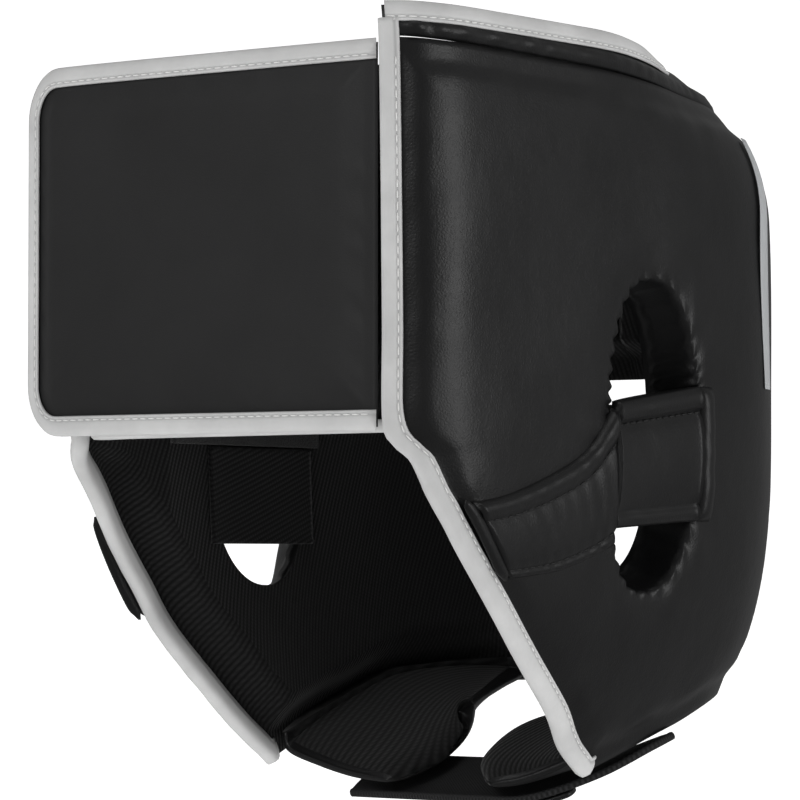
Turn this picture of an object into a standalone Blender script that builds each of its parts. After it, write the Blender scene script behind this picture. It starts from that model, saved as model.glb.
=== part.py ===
# Open-face boxing headgear: padded side panels, a thick forehead pad, white tape
# bindings, ear straps and bridges, a crown pad and a chin strap with two flaps.
# The front of the head is -Y, the wearer's left is +X, up is +Z.
# The origin is the seat: the underside of the crown pad, where it sits on a head.

import bpy
import numpy as np

MM = 0.001

# Overall size of the padded body
HEAD_WIDTH = 198 * MM        # outer width over the ears
FRONT_REACH = 112 * MM       # seat centre to the face of the forehead pad
BACK_REACH = 152 * MM        # seat centre to the outside of the nape
TOP_RISE = 22 * MM           # seat up to the taped top edge, left side
TOP_RISE_RIGHT = 15 * MM     # the right top edge lies lower, under the pad
BROW_DROP = 117 * MM         # seat down to the brow edge
JAW_DROP = 232 * MM          # seat down to the jaw tips
NAPE_DROP = 203 * MM         # seat down to the nape edge

# Padding and tape
PANEL_THICK = 20 * MM
EDGE_THICK = 3 * MM          # squeezed flat where the tape is sewn on
EDGE_SET_IN = 2 * MM         # the squeezed edge lies this far under the outer face
TAPE_WIDTH = 5.5 * MM
TAPE_THICK = 1.1 * MM
SLOPE_WIDTH = 8 * MM         # from the squeezed edge up to the full padding
LAND_WIDTH = TAPE_WIDTH + 2 * MM
OUTLINE_PITCH = 13 * MM      # spacing of the points round a side panel
GAP = 0.4 * MM               # clearance between neighbouring pieces
LAY = 0.9 * MM               # height of a laid-on piece over the faceted skin

# Ear hole and what crosses it
EAR_BACK_OF_SEAT = 16 * MM   # centre of the hole behind the seat centre
EAR_DROP = 115 * MM          # seat down to the centre of the hole
EAR_WIDTH = 46 * MM
EAR_HEIGHT = 102 * MM
RIM_WIDTH = 2.5 * MM           # rounded rim of the hole
RIM_SLOPE = 11 * MM          # and the slope up to the full padding
RIM_DIP = 14 * MM             # the rim's edge lies this far under the outer face
BRIDGE_HEIGHT = 45 * MM
BRIDGE_DROP = 8 * MM         # centre of the bridge below the centre of the hole
BRIDGE_SINK = 7 * MM         # its back reaches this far into the hole
BRIDGE_DIP = 3 * MM          # its face sinks this much there
BRIDGE_BULGE = 1.5 * MM
STRAP_THICK = 3 * MM
TAB_WIDTH = 6 * MM
TAB_THICK = 2.6 * MM
ANCHOR_WIDTH = 9 * MM

# Forehead pad, its base and the band round the top
PAD_THICK = 20 * MM
PAD_RISE = 10 * MM           # seat up to the top of the pad
PAD_DROP = 114.5 * MM        # seat down to its lower edge
PAD_LIFT = 1 * MM            # the free right end sits this much higher
PAD_CORNER = 16.5 * MM
PAD_MITRE = 0.8             # slant of the pad's left end, along the side panel's edge
PAD_SEWN_POINTS = 4          # points along the sewn left end, between its corners
PAD_FIELD = 42 * MM          # inset of the pad's flat middle from its edge
PAD_LINING = 2 * MM          # the lining behind the pad starts this far in
BASE_THICK = 9 * MM
BASE_BELOW = 4 * MM          # the base ends this far under the top of the pad
BASE_DIP = 1.5 * MM          # rounding of the base's edges
BAND_HEIGHT = 10.5 * MM
BAND_FALL = 6 * MM           # its seam falls this much towards the rear middle
TOP_FALL = 4 * MM            # and its top edge this much

# How the rear of the crown closes in, as a dome
DOME_START = 35 * MM         # seat down to where it starts
DOME_CLOSE = 0.255           # share that it has closed in at the top edge
DOME_POWER = 2.2

# Back opening and closure
BACK_GAP_TOP = 88 * MM       # seat down to the top of the wedge gap
BACK_GAP_FOOT = 166 * MM     # seat down to its foot
BACK_GAP_HALF = 25 * MM      # half width at the top
CLOSURE_HALF = 48 * MM
CLOSURE_HEIGHT = 30 * MM
CLOSURE_THICK = 3 * MM

# Crown, chin and inside strips
CROWN_WIDTH = 76 * MM
CROWN_THICK = 10 * MM
CROWN_SAG = 11 * MM          # the ends of the crown lie this far under the seat
FLAP_WIDTH = 42 * MM
FLAP_THICK = 9 * MM
FLAP_TILT = 0.55             # rise per depth of the flaps, higher at the throat
FLAP_END_LEFT = 20 * MM      # free end of each flap to the middle plane
FLAP_END_RIGHT = -2 * MM
FLAP_SET_BACK = 29 * MM      # middle of the flaps behind the seat centre
FLAP_ROOT_FRONT = 17 * MM    # their sewn ends, along the jaw edge behind the seat
FLAP_ROOT_REAR_LEFT = 92 * MM
FLAP_ROOT_REAR_RIGHT = 144 * MM
FLAP_LAP = 6 * MM            # they begin this far above the jaw edge, on the lining
FLAP_RISE = 7 * MM           # middle of their tips above the jaw tips
FLAP_SAG = 2 * MM            # how far the front edge hangs between jaw and tip
FLAP_ROUND = 14 * MM         # rounding of the tips
STRAP_WIDTH = 27 * MM
STRAP_FORWARD = 8 * MM       # the strap lies this far in front of the flaps' middle
STRAP_UNDER = 4 * MM         # and this far under their lower faces
CHIN_STRAP_THICK = 3 * MM
CHIN_TAB_THICK = 2.2 * MM
STRAP_ROOT_BACK = 68 * MM    # sewn end of the strap, under the left lower edge
CHIN_STRAP_END = 34 * MM     # end of the strap past the middle plane
STRIP_HEIGHT = 20 * MM
STRIP_LENGTH = 86 * MM
STRIP_THICK = 1.4 * MM

BLACK = (0.018, 0.018, 0.019)
SOFT_BLACK = (0.026, 0.026, 0.027)
KNIT = (0.012, 0.012, 0.013)
WHITE = (0.80, 0.80, 0.79)

# Plan of the outer skin, wearer's left half: shares of half the width and, in
# front of the seat, of FRONT_REACH, or behind it of BACK_REACH
PLAN_LEFT = (
    # place, side share, depth share
    ("front edge", 0.828, -1.000),
    ("front corner", 0.911, -0.941),
    ("temple turn", 0.954, -0.855),
    ("temple", 0.978, -0.730),
    ("cheekbone", 0.990, -0.400),
    ("ear", 1.000, 0.000),
    ("behind ear", 1.005, 0.316),
    ("rear corner", 0.945, 0.605),
    ("rear turn", 0.737, 0.829),
    ("rear flat", 0.404, 0.961),
    ("rear middle", 0.000, 1.000),
)
# The right half ends further back, where it runs in under the forehead pad
PLAN_RIGHT = (
    ("front edge", 0.828, -0.741),
    ("front corner", 0.899, -0.679),
    ("temple", 0.950, -0.554),
) + PLAN_LEFT[4:]

# Upright shape: shares of the plan at heights given as shares of JAW_DROP
UPRIGHT = (
    # height share, side share, back share
    (-1.10, 0.650, 0.800),
    (-1.00, 0.735, 0.845),
    (-0.88, 0.850, 0.905),
    (-0.75, 0.945, 0.965),
    (-0.62, 0.990, 0.995),
    (-0.45, 1.000, 1.000),
    (0.00, 0.985, 1.000),
    (0.12, 0.965, 1.000),
)


def curve_through(rows, count):
    """Evenly spaced points on a Catmull-Rom curve through the rows."""
    knots = np.array(rows, float)
    ends = np.vstack([2 * knots[0] - knots[1], knots, 2 * knots[-1] - knots[-2]])
    dense = []
    for k in range(1, len(ends) - 2):
        a, b, c, d = ends[k - 1:k + 3]
        for t in np.linspace(0, 1, 16, endpoint=False):
            dense.append(0.5 * (2 * b + (c - a) * t + (2 * a - 5 * b + 4 * c - d) * t ** 2
                                + (3 * b - a - 3 * c + d) * t ** 3))
    dense.append(knots[-1])
    dense = np.array(dense)
    run = np.concatenate([[0], np.cumsum(np.linalg.norm(np.diff(dense, axis=0), axis=1))])
    even = np.linspace(0, run[-1], count)
    return np.column_stack([np.interp(even, run, dense[:, k]) for k in range(dense.shape[1])])


def plan_curve(rows):
    """Plan points from the rear middle to the front edge, and the length run."""
    points = []
    for _, side, depth in reversed(rows):
        reach = FRONT_REACH if depth < 0 else BACK_REACH
        points.append((side * HEAD_WIDTH / 2, depth * reach))
    curve = curve_through(points, 240)
    run = np.concatenate([[0], np.cumsum(np.linalg.norm(np.diff(curve, axis=0), axis=1))])
    return curve, run


PLANS = {1: plan_curve(PLAN_LEFT), -1: plan_curve(PLAN_RIGHT)}


def plan_length(side):
    return PLANS[side][1][-1]


def along_at(side, y):
    """Run from the rear middle to where the plan has this y."""
    curve, run = PLANS[side]
    return float(np.interp(-y, -curve[:, 1], run))


def skin_point(side, along, height):
    """A point of the outer skin: along is the run from the rear middle."""
    curve, run = PLANS[side]
    x = np.interp(along, run, curve[:, 0])
    y = np.interp(along, run, curve[:, 1])
    past = along - run[-1]
    if past > 0:
        heading = (curve[-1] - curve[-6]) / np.linalg.norm(curve[-1] - curve[-6])
        x, y = curve[-1] + heading * past
    share = height / JAW_DROP
    table = np.array(UPRIGHT)
    x = x * np.interp(share, table[:, 0], table[:, 1])
    if y > 0:
        y = y * np.interp(share, table[:, 0], table[:, 2])
    closed = DOME_CLOSE * max(0, (height + DOME_START) / (TOP_RISE + DOME_START)) ** DOME_POWER
    rear = np.clip((y + 0.10 * BACK_REACH) / (0.70 * BACK_REACH), 0, 1)
    keep = 1 - closed * rear * rear * (3 - 2 * rear)
    return np.array([side * x * keep, y * keep, height])


def on_skin(side, along, height, lift):
    """A point this far above the skin, along the skin's own normal."""
    step = 1.5 * MM
    here = skin_point(side, along, height)
    run = skin_point(side, along + step, height) - skin_point(side, max(along - step, 0), height)
    rise = skin_point(side, along, height + step) - skin_point(side, along, height - step)
    normal = np.cross(rise, run) * side
    normal /= np.linalg.norm(normal)
    if along < step:
        normal[0] = 0
        normal /= np.linalg.norm(normal)
    return here + normal * lift


def towards(loop, centre, distance):
    """Each point of a clockwise loop moved to a centre, until it is this far inside both its edges."""
    before, after = np.roll(loop, 1, axis=0), np.roll(loop, -1, axis=0)
    turn = np.array([[0, -1], [1, 0]])
    first = (loop - before) / np.linalg.norm(loop - before, axis=1)[:, None] @ turn
    second = (after - loop) / np.linalg.norm(after - loop, axis=1)[:, None] @ turn
    ray = (centre - loop) / np.linalg.norm(centre - loop, axis=1)[:, None]
    slant = np.minimum(np.sum(ray * first, axis=1), np.sum(ray * second, axis=1))
    return loop + ray * (distance / np.clip(slant, 0.5, 1))[:, None]


def subdivide(rows, pitch, closed=True):
    """The corners of an outline, with even points between them."""
    corners = np.array(rows, float)
    ends = np.vstack([corners[1:], corners[:1]]) if closed else corners[1:]
    points = []
    for start, end in zip(corners, ends):
        parts = max(1, int(round(np.linalg.norm(end - start) / pitch)))
        points.extend(start + (end - start) * k / parts for k in range(parts))
    if not closed:
        points.append(corners[-1])
    return np.array(points)


def material(name, colour, roughness):
    stuff = bpy.data.materials.new(name)
    stuff.use_nodes = True
    shader = stuff.node_tree.nodes["Principled BSDF"]
    shader.inputs["Base Color"].default_value = (*colour, 1)
    shader.inputs["Roughness"].default_value = roughness
    shader.inputs["Metallic"].default_value = 0
    return stuff


def loft(name, loops, colour, roughness, ring=False):
    """One closed solid through loops of points; a ring joins its last loop to its first."""
    loops = [np.array(loop, float) for loop in loops]
    size = len(loops[0])
    vertices = [tuple(p) for loop in loops for p in loop]
    faces = []
    for k in range(len(loops) if ring else len(loops) - 1):
        a, b = k * size, ((k + 1) % len(loops)) * size
        for i in range(size):
            j = (i + 1) % size
            faces.append((a + i, a + j, b + j))
            faces.append((a + i, b + j, b + i))
    if not ring:
        faces.append(tuple(reversed(range(size))))
        faces.append(tuple(range((len(loops) - 1) * size, len(loops) * size)))
    mesh = bpy.data.meshes.new(name)
    mesh.from_pydata(vertices, [], faces)
    mesh.validate()
    volume = 0
    mesh.calc_loop_triangles()
    for triangle in mesh.loop_triangles:
        a, b, c = (mesh.vertices[i].co for i in triangle.vertices)
        volume += a.dot(b.cross(c))
    if volume < 0:
        mesh.flip_normals()
    mesh.shade_smooth()
    mesh.set_sharp_from_angle(angle=0.7)
    mesh.materials.append(material(name, colour, roughness))
    piece = bpy.data.objects.new(name, mesh)
    bpy.context.scene.collection.objects.link(piece)
    return piece


def side_word(side):
    return "left" if side > 0 else "right"


def top_rise(side, along):
    """Height of the top edge; both sides meet at one height at the rear middle."""
    own = TOP_RISE if side > 0 else TOP_RISE_RIGHT
    middle = (TOP_RISE + TOP_RISE_RIGHT) / 2
    return middle + (own - middle) * min(1, along / (0.4 * plan_length(side)))


def seam_height(side, along):
    """Height of the seam between a side panel and the band above it."""
    back = 1 - along / plan_length(side)
    return top_rise(side, along) - BAND_HEIGHT - BAND_FALL * back


# Cheek edges under the brow, front to jaw; the right one runs further back
CHEEK_LEFT = (
    # y share of FRONT_REACH, drop share from brow to jaw
    (-0.980, 0.030),
    (-0.950, 0.070),
    (-0.915, 0.125),
    (-0.875, 0.185),
    (-0.720, 0.360),
    (-0.430, 0.610),
    (-0.150, 0.815),
    (-0.020, 0.925),
)
CHEEK_RIGHT = (
    (-0.715, 0.025),
    (-0.640, 0.085),
    (-0.560, 0.155),
    (-0.485, 0.240),
    (-0.345, 0.440),
    (-0.260, 0.590),
    (-0.120, 0.760),
    (0.000, 0.900),
)
# Lower edge, from the jaw tip back to the nape
LOWER = (
    # y share of BACK_REACH, height share from jaw to nape
    (0.095, 0.000),
    (0.175, 0.120),
    (0.430, 0.500),
    (0.720, 0.850),
)


def panel_corners(side):
    """Corners of a side panel in run from the rear middle and height."""
    front = plan_length(side)
    fall = JAW_DROP - BROW_DROP
    corners = [(front, seam_height(side, front)), (front, -BROW_DROP)]
    for depth, drop in CHEEK_LEFT if side > 0 else CHEEK_RIGHT:
        corners.append((along_at(side, depth * FRONT_REACH), -BROW_DROP - drop * fall))
    for depth, rise in LOWER:
        corners.append((along_at(side, depth * BACK_REACH), -JAW_DROP + rise * (JAW_DROP - NAPE_DROP)))
    foot = BACK_GAP_HALF * 0.30
    corners += [
        (2 * GAP, -NAPE_DROP),
        (2 * GAP, -BACK_GAP_FOOT - foot),
        (foot, -BACK_GAP_FOOT),
        (BACK_GAP_HALF, -BACK_GAP_TOP),
        (BACK_GAP_HALF, seam_height(side, BACK_GAP_HALF)),
    ]
    return corners


def top_start(side):
    """Index of the outline's point where the top edge begins, at the rear."""
    corners = panel_corners(side)
    outline = subdivide(corners, OUTLINE_PITCH)
    return np.argmin(np.linalg.norm(outline - np.array(corners[-1]), axis=1))


def panel_outline(side):
    outline = subdivide(panel_corners(side), OUTLINE_PITCH)
    for point in outline[top_start(side):]:
        point[1] = seam_height(side, point[0])
    return outline


def ear_centre(side):
    return np.array([along_at(side, EAR_BACK_OF_SEAT), -EAR_DROP])


def ear_point(direction, grow=0.0):
    """Edge of the ear hole in a direction from its centre: an upright oval."""
    half = np.array([EAR_WIDTH / 2 + grow, EAR_HEIGHT / 2 + grow])
    power = 2.4
    length = np.sum(np.abs(direction / half) ** power) ** (-1 / power)
    return direction * length


def padded_depth(side, along, full=1.0):
    """Depth of the lining under the skin, thinner towards the front corner."""
    edge = EDGE_SET_IN + EDGE_THICK
    front = np.clip((plan_length(side) - along - 2 * TAPE_WIDTH) / (2 * PANEL_THICK), 0, 1)
    return edge + (PANEL_THICK - edge) * full * front


def side_panel(side):
    outline = panel_outline(side)
    centre = ear_centre(side)
    edge_rings = [towards(outline, centre, d) for d in (0, TAPE_WIDTH, LAND_WIDTH, LAND_WIDTH + SLOPE_WIDTH)]
    inner_edge = edge_rings[-1]
    hole_rings = []
    for grow in (0, RIM_WIDTH, RIM_SLOPE):
        hole_rings.append(np.array([centre + ear_point(p - centre, grow) for p in inner_edge]))
    rings = [(hole_rings[0], RIM_DIP, 1), (hole_rings[1], 0.5 * RIM_DIP, 1), (hole_rings[2], 0, 1)]
    for share in (0.33, 0.66):
        rings.append((hole_rings[2] * (1 - share) + inner_edge * share, 0, 1))
    rings += [(inner_edge, 0, 1), (edge_rings[2], EDGE_SET_IN, 0),
              (edge_rings[1], EDGE_SET_IN, 0), (edge_rings[0], EDGE_SET_IN, 0)]
    sections = []
    for k in range(len(outline)):
        outer = [on_skin(side, *ring[k], -dip) for ring, dip, _ in rings]
        inner = [on_skin(side, *ring[k], -padded_depth(side, ring[k][0], full)) for ring, _, full in reversed(rings)]
        sections.append(outer + inner)
    return loft(f"side_panel_{side_word(side)}", sections, BLACK, 0.5, ring=True)


def tape_section(half_low, half_high):
    """Section of the folded tape: inset from the edge, and lift, round a U."""
    low, high = half_low - GAP, half_high + GAP
    out = -GAP - TAPE_THICK
    return [(TAPE_WIDTH, high), (-GAP, high), (-GAP, low), (TAPE_WIDTH, low), (TAPE_WIDTH, low - TAPE_THICK),
            (out, low - TAPE_THICK), (out, high + TAPE_THICK), (TAPE_WIDTH, high + TAPE_THICK)]


def face_tape(side):
    """Folded tape down the front edge and the cheek to the jaw tip."""
    outline = panel_outline(side)
    rings = [(towards(outline, ear_centre(side), d), lift)
             for d, lift in tape_section(-EDGE_SET_IN - EDGE_THICK, -EDGE_SET_IN)]
    tip = np.argmin(outline[:, 1])
    start = 0 if side > 0 else np.argmax(outline[:, 1] < -BROW_DROP * 0.9)
    sections = [[on_skin(side, *ring[k], lift) for ring, lift in rings] for k in range(start, tip + 1)]
    return loft(f"face_tape_{side_word(side)}", sections, WHITE, 0.45)


def band_top(side, along):
    """Height of the top edge: level along the side, lower round the back."""
    back = np.clip(1 - along / (0.62 * plan_length(side)), 0, 1)
    return top_rise(side, along) - TOP_FALL * back


def top_stations(side):
    """Runs of the points along the top edge of a side panel, rear to front."""
    outline = panel_outline(side)
    return [GAP, BACK_GAP_HALF / 2] + list(outline[top_start(side):, 0]) + [plan_length(side)]


def top_band(side):
    """The narrow band sewn on above a side panel, closing in round the crown's rear."""
    sections = []
    for along in top_stations(side):
        foot = seam_height(side, along) + 2 * GAP
        head = band_top(side, along)
        high, low = -EDGE_SET_IN, -EDGE_SET_IN - EDGE_THICK
        sections.append([on_skin(side, along, height, high) for height in (foot, head - TAPE_WIDTH, head)]
                        + [on_skin(side, along, height, low) for height in (head, head - TAPE_WIDTH, foot)])
    return loft(f"top_band_{side_word(side)}", sections, BLACK, 0.5)


def top_tape(side):
    """Tape over the top edge, from the front corner to behind the ear."""
    section = tape_section(-EDGE_SET_IN - EDGE_THICK, -EDGE_SET_IN)
    sections = []
    for along in top_stations(side):
        if along < along_at(side, 0.42 * BACK_REACH):
            continue
        head = band_top(side, along)
        sections.append([on_skin(side, along, head - d, lift) for d, lift in section])
    return loft(f"top_tape_{side_word(side)}", sections, WHITE, 0.45)


# Plan of the forehead pad's face, left end first: shares of half the width and of FRONT_REACH
PAD_PLAN = (
    (0.775, -0.998),
    (0.300, -1.005),
    (-0.300, -1.008),
    (-0.620, -0.998),
    (-0.810, -0.963),
)
BASE_PLAN = (
    (0.738, -0.800),
    (0.300, -0.806),
    (-0.300, -0.806),
    (-0.600, -0.790),
    (-0.752, -0.745),
)


def front_plan(rows):
    points = [(side * HEAD_WIDTH / 2, depth * FRONT_REACH) for side, depth in rows]
    curve = curve_through(points, 120)
    run = np.concatenate([[0], np.cumsum(np.linalg.norm(np.diff(curve, axis=0), axis=1))])
    return curve, run


PAD_CURVE = front_plan(PAD_PLAN)
BASE_CURVE = front_plan(BASE_PLAN)


def on_front(plan, across, height, lift):
    """A point over a front plan: across is the run from its left end."""
    curve, run = plan
    step = 2 * MM
    here = np.array([np.interp(across, run, curve[:, k]) for k in (0, 1)])
    ahead = np.array([np.interp(min(across + step, run[-1]), run, curve[:, k]) for k in (0, 1)])
    behind = np.array([np.interp(max(across - step, 0), run, curve[:, k]) for k in (0, 1)])
    heading = (ahead - behind) / np.linalg.norm(ahead - behind)
    normal = np.array([-heading[1], heading[0]]) * -1
    if normal[1] > 0:
        normal = -normal
    here = here + heading * (max(across - run[-1], 0) + min(across, 0))
    flat = here + normal * lift
    return np.array([flat[0], flat[1], height])


def pad_outline(shrink):
    """Loop round the pad at an inset: square left corners, round right ones."""
    length = PAD_CURVE[1][-1]
    low, high = -PAD_DROP + shrink, PAD_RISE - shrink
    left, right = shrink, length - shrink
    radius = max(PAD_CORNER - shrink, 2 * MM)
    points = [(left, high)]
    points += [(x, high) for x in np.linspace(left, right - radius, 8)[1:]]
    for quarter in (1, 0):
        corner = high - radius if quarter else low + radius
        for angle in np.radians(np.linspace(67.5, 0, 4) if quarter else np.linspace(0, -67.5, 4)):
            points.append((right - radius + radius * np.cos(angle), corner + radius * np.sin(angle)))
        if quarter:
            points += [(right, y) for y in np.linspace(high - radius, low + radius, 6)[1:-1]]
    points += [(x, low) for x in np.linspace(right - radius, left, 8)]
    points += [(left, y) for y in np.linspace(low, high, PAD_SEWN_POINTS + 2)[1:-1]]
    return points


def pad_place(across, height, lift):
    length = PAD_CURVE[1][-1]
    mitre = PAD_MITRE * lift * max(0, 1 - across / (0.1 * length))
    return on_front(PAD_CURVE, across - mitre, height + PAD_LIFT * across / length, lift)


def forehead_pad():
    high, low = -EDGE_SET_IN, -EDGE_SET_IN - EDGE_THICK
    full = -PAD_THICK + PAD_LINING
    slope = LAND_WIDTH + SLOPE_WIDTH
    steps = [(PAD_FIELD, 0), (slope, 0), (LAND_WIDTH, high), (0, high),
             (0, low), (LAND_WIDTH, low), (slope, full), (PAD_FIELD, full)]
    loops = [[pad_place(a, h, lift) for a, h in pad_outline(shrink)] for shrink, lift in steps]
    return loft("forehead_pad", loops, SOFT_BLACK, 0.6)


def pad_tape():
    """Folded tape over the pad's three free edges; its left end is sewn in."""
    section = tape_section(-EDGE_SET_IN - EDGE_THICK, -EDGE_SET_IN)
    rings = []
    for inset, lift in section:
        points = pad_outline(inset)[:-PAD_SEWN_POINTS]
        points[0] = (2 * GAP, points[0][1])
        points[-1] = (2 * GAP, points[-1][1])
        rings.append([pad_place(a, h, lift) for a, h in points])
    sections = [[ring[k] for ring in rings] for k in range(len(rings[0]))]
    return loft("forehead_pad_tape", sections, WHITE, 0.45)


def forehead_base():
    """The lining panel behind the pad, between the two side panels."""
    length = BASE_CURVE[1][-1]
    foot = -BROW_DROP + GAP
    head = PAD_RISE - BASE_BELOW
    knees = [(0.0, BASE_DIP), (0.05, BASE_DIP), (0.12, 0.0), (0.90, 0.0), (1.0, BASE_DIP)]
    sections = []
    for across in np.linspace(0, length, 13):
        outer = [on_front(BASE_CURVE, across, foot + share * (head - foot), -dip) for share, dip in knees]
        inner = [on_front(BASE_CURVE, across, foot + share * (head - foot), dip - BASE_THICK)
                 for share, dip in reversed(knees)]
        sections.append(outer + inner)
    return loft("forehead_base", sections, KNIT, 0.85)


def brow_tape():
    length = BASE_CURVE[1][-1]
    foot = -BROW_DROP + GAP
    section = tape_section(-BASE_THICK + BASE_DIP, -BASE_DIP)
    sections = []
    for across in np.linspace(2 * BASE_DIP, length - 2 * BASE_DIP, 13):
        sections.append([on_front(BASE_CURVE, across, foot + min(d, 0.5 * TAPE_WIDTH), lift) for d, lift in section])
    return loft("brow_tape", sections, WHITE, 0.45)


# Ear strap from the cheek tab to the ear hole: y share of FRONT_REACH, then
# foot and head as shares of the drop from brow to jaw, above or below the brow
EAR_STRAP = {
    # y at head, y at foot, head share, foot share
    1: (
        (-0.755, -0.560, -0.190, -0.405),
        (-0.590, -0.450, -0.160, -0.398),
        (-0.385, -0.330, -0.100, -0.385),
        (-0.215, -0.185, -0.025, -0.350),
        (-0.085, -0.075, 0.095, -0.315),
    ),
    -1: (
        (-0.450, -0.285, -0.226, -0.530),
        (-0.370, -0.235, -0.180, -0.480),
        (-0.270, -0.185, -0.110, -0.420),
        (-0.175, -0.130, -0.020, -0.365),
        (-0.085, -0.075, 0.095, -0.315),
    ),
}


def ear_strap(side):
    """Flat strap with a padded upper rib, laid over the side panel."""
    rows = curve_through(EAR_STRAP[side], 9)
    fall = JAW_DROP - BROW_DROP
    profile = ((0.0, 0.4), (0.05, 1.0), (0.74, 1.0), (0.78, 0.7), (0.84, 1.6), (0.95, 1.8), (1.0, 0.6))
    sections = []
    for y_head, y_foot, head, foot in rows:
        low = np.array([along_at(side, y_foot * FRONT_REACH), -BROW_DROP + foot * fall])
        high = np.array([along_at(side, y_head * FRONT_REACH), -BROW_DROP + head * fall])
        outer = [on_skin(side, *(low + (high - low) * share), LAY + STRAP_THICK * tall) for share, tall in profile]
        inner = [on_skin(side, *(low + (high - low) * share), LAY) for share in (1.0, 0.66, 0.33, 0.0)]
        sections.append(outer + inner)
    return loft(f"ear_strap_{side_word(side)}", sections, BLACK, 0.45)


def ear_tab(side):
    """Folded end of the ear strap, over the cheek tape."""
    fall = JAW_DROP - BROW_DROP
    y_head, y_foot, head, foot = EAR_STRAP[side][0]
    low = np.array([along_at(side, y_foot * FRONT_REACH), -BROW_DROP + foot * fall])
    high = np.array([along_at(side, y_head * FRONT_REACH), -BROW_DROP + head * fall])
    sections = []
    for share in np.linspace(-0.04, 1.03, 6):
        at = low + (high - low) * share
        sections.append([on_skin(side, at[0] + shift, at[1], lift) for shift, lift in (
            (2 * GAP, LAY), (TAB_WIDTH, LAY), (TAB_WIDTH, LAY + TAB_THICK), (2 * GAP, LAY + TAB_THICK))])
    return loft(f"ear_tab_{side_word(side)}", sections, BLACK, 0.45)


def bridge_ends(side):
    centre = ear_centre(side)
    reach = EAR_WIDTH / 2
    return centre[0] + reach + 1 * MM, centre[0] - reach - 1.5 * MM


def bridge_heights(side, along):
    centre = ear_centre(side)
    middle = centre[1] - BRIDGE_DROP + (centre[0] - along) * 0.10
    half = BRIDGE_HEIGHT / 2 + (centre[0] - along) * 0.04
    return middle - half, middle + half


# Face of the ear bridge from its lower lip to its rolled upper edge
BRIDGE_PROFILE = (
    # share up the bridge, height over the skin
    (0.0, 2.2 * MM),
    (0.09, 3.4 * MM),
    (0.13, 2.6 * MM),
    (0.5, 5.0 * MM),
    (0.85, 2.8 * MM),
    (0.90, 4.6 * MM),
    (1.0, 3.0 * MM),
)


def ear_bridge(side):
    """Padded bar across the ear hole, sunk a little into it."""
    start, end = bridge_ends(side)
    sections = []
    for share in np.linspace(0, 1, 9):
        along = start + (end - start) * share
        foot, head = bridge_heights(side, along)
        sink = np.sin(np.pi * np.clip((share - 0.12) / 0.76, 0, 1)) ** 0.5
        base = LAY - BRIDGE_SINK * sink
        lift = LAY + BRIDGE_BULGE * np.sin(np.pi * share) - BRIDGE_DIP * sink
        outer = [on_skin(side, along, foot + (head - foot) * h, lift + tall) for h, tall in BRIDGE_PROFILE]
        inner = [on_skin(side, along, foot + (head - foot) * h, base) for h in (1.0, 0.5, 0.0)]
        sections.append(outer + inner)
    return loft(f"ear_bridge_{side_word(side)}", sections, BLACK, 0.5)


def ear_anchor(side):
    """Upright fold behind the hole that the bridge is sewn to."""
    end = bridge_ends(side)[1] - GAP
    foot, head = bridge_heights(side, end)
    sections = []
    for share in np.linspace(0, 1, 6):
        height = foot + (head - foot) * share
        sections.append([on_skin(side, end - shift, height, LAY + lift * MM) for shift, lift in (
            (0, 0), (ANCHOR_WIDTH, 0), (ANCHOR_WIDTH, 1.0), (ANCHOR_WIDTH * 0.5, 4.6), (0, 3.4))])
    return loft(f"ear_anchor_{side_word(side)}", sections, BLACK, 0.5)


def inner_strip(side):
    """Flat hook-and-loop strip on the lining, over the bridge."""
    middle = along_at(side, 0.06 * FRONT_REACH)
    foot = -BROW_DROP + 1.5 * MM
    lift = -PANEL_THICK - LAY
    sections = []
    for along in np.linspace(middle - STRIP_LENGTH / 2, middle + STRIP_LENGTH / 2, 9):
        sections.append([on_skin(side, along, foot, lift), on_skin(side, along, foot + STRIP_HEIGHT, lift),
                         on_skin(side, along, foot + STRIP_HEIGHT, lift - STRIP_THICK),
                         on_skin(side, along, foot, lift - STRIP_THICK)])
    return loft(f"inner_strip_{side_word(side)}", sections, KNIT, 0.95)


def rear_closure():
    """Closure strap across the nape, under the wedge gap."""
    head = -BACK_GAP_FOOT - 1 * MM
    foot = head - CLOSURE_HEIGHT
    sections = []
    for run in np.linspace(-CLOSURE_HALF, CLOSURE_HALF, 15):
        side = 1 if run >= 0 else -1
        taper = 1 - 0.12 * (run / CLOSURE_HALF) ** 4
        middle, half = (head + foot) / 2, (head - foot) / 2 * taper
        sections.append([on_skin(side, abs(run), height, lift) for height, lift in (
            (middle - half, LAY), (middle + half, LAY), (middle + half, LAY + CLOSURE_THICK),
            (middle - half, LAY + CLOSURE_THICK))])
    return loft("rear_closure", sections, BLACK, 0.5)


def crown_pad():
    """Plain padded bridge over the top of the head, between the side panels."""
    sections = []
    half = CROWN_WIDTH / 2
    left = on_skin(1, along_at(1, CROWN_WIDTH / 2), -CROWN_SAG / 2, -PANEL_THICK - LAY)[0]
    for share in np.linspace(-1, 1, 15):
        x = share * left
        seat = -CROWN_SAG * share ** 2
        thick = CROWN_THICK
        section = []
        for y, height in ((-half, 1.5 * MM), (-half * 0.8, 0), (half * 0.8, 0), (half, 1.5 * MM),
                          (half, thick - 1.5 * MM), (half * 0.8, thick), (-half * 0.8, thick), (-half, thick - 1.5 * MM)):
            section.append((x, y, seat + height))
        sections.append(section)
    return loft("crown_pad", sections, KNIT, 0.7)


def edge_height(side, along):
    """Height of a side panel's lower edge."""
    corners = np.array(panel_corners(side))
    tip = np.argmin(corners[:, 1])
    lower = corners[tip:tip + len(LOWER) + 1][::-1]
    return np.interp(along, lower[:, 0], lower[:, 1])


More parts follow.
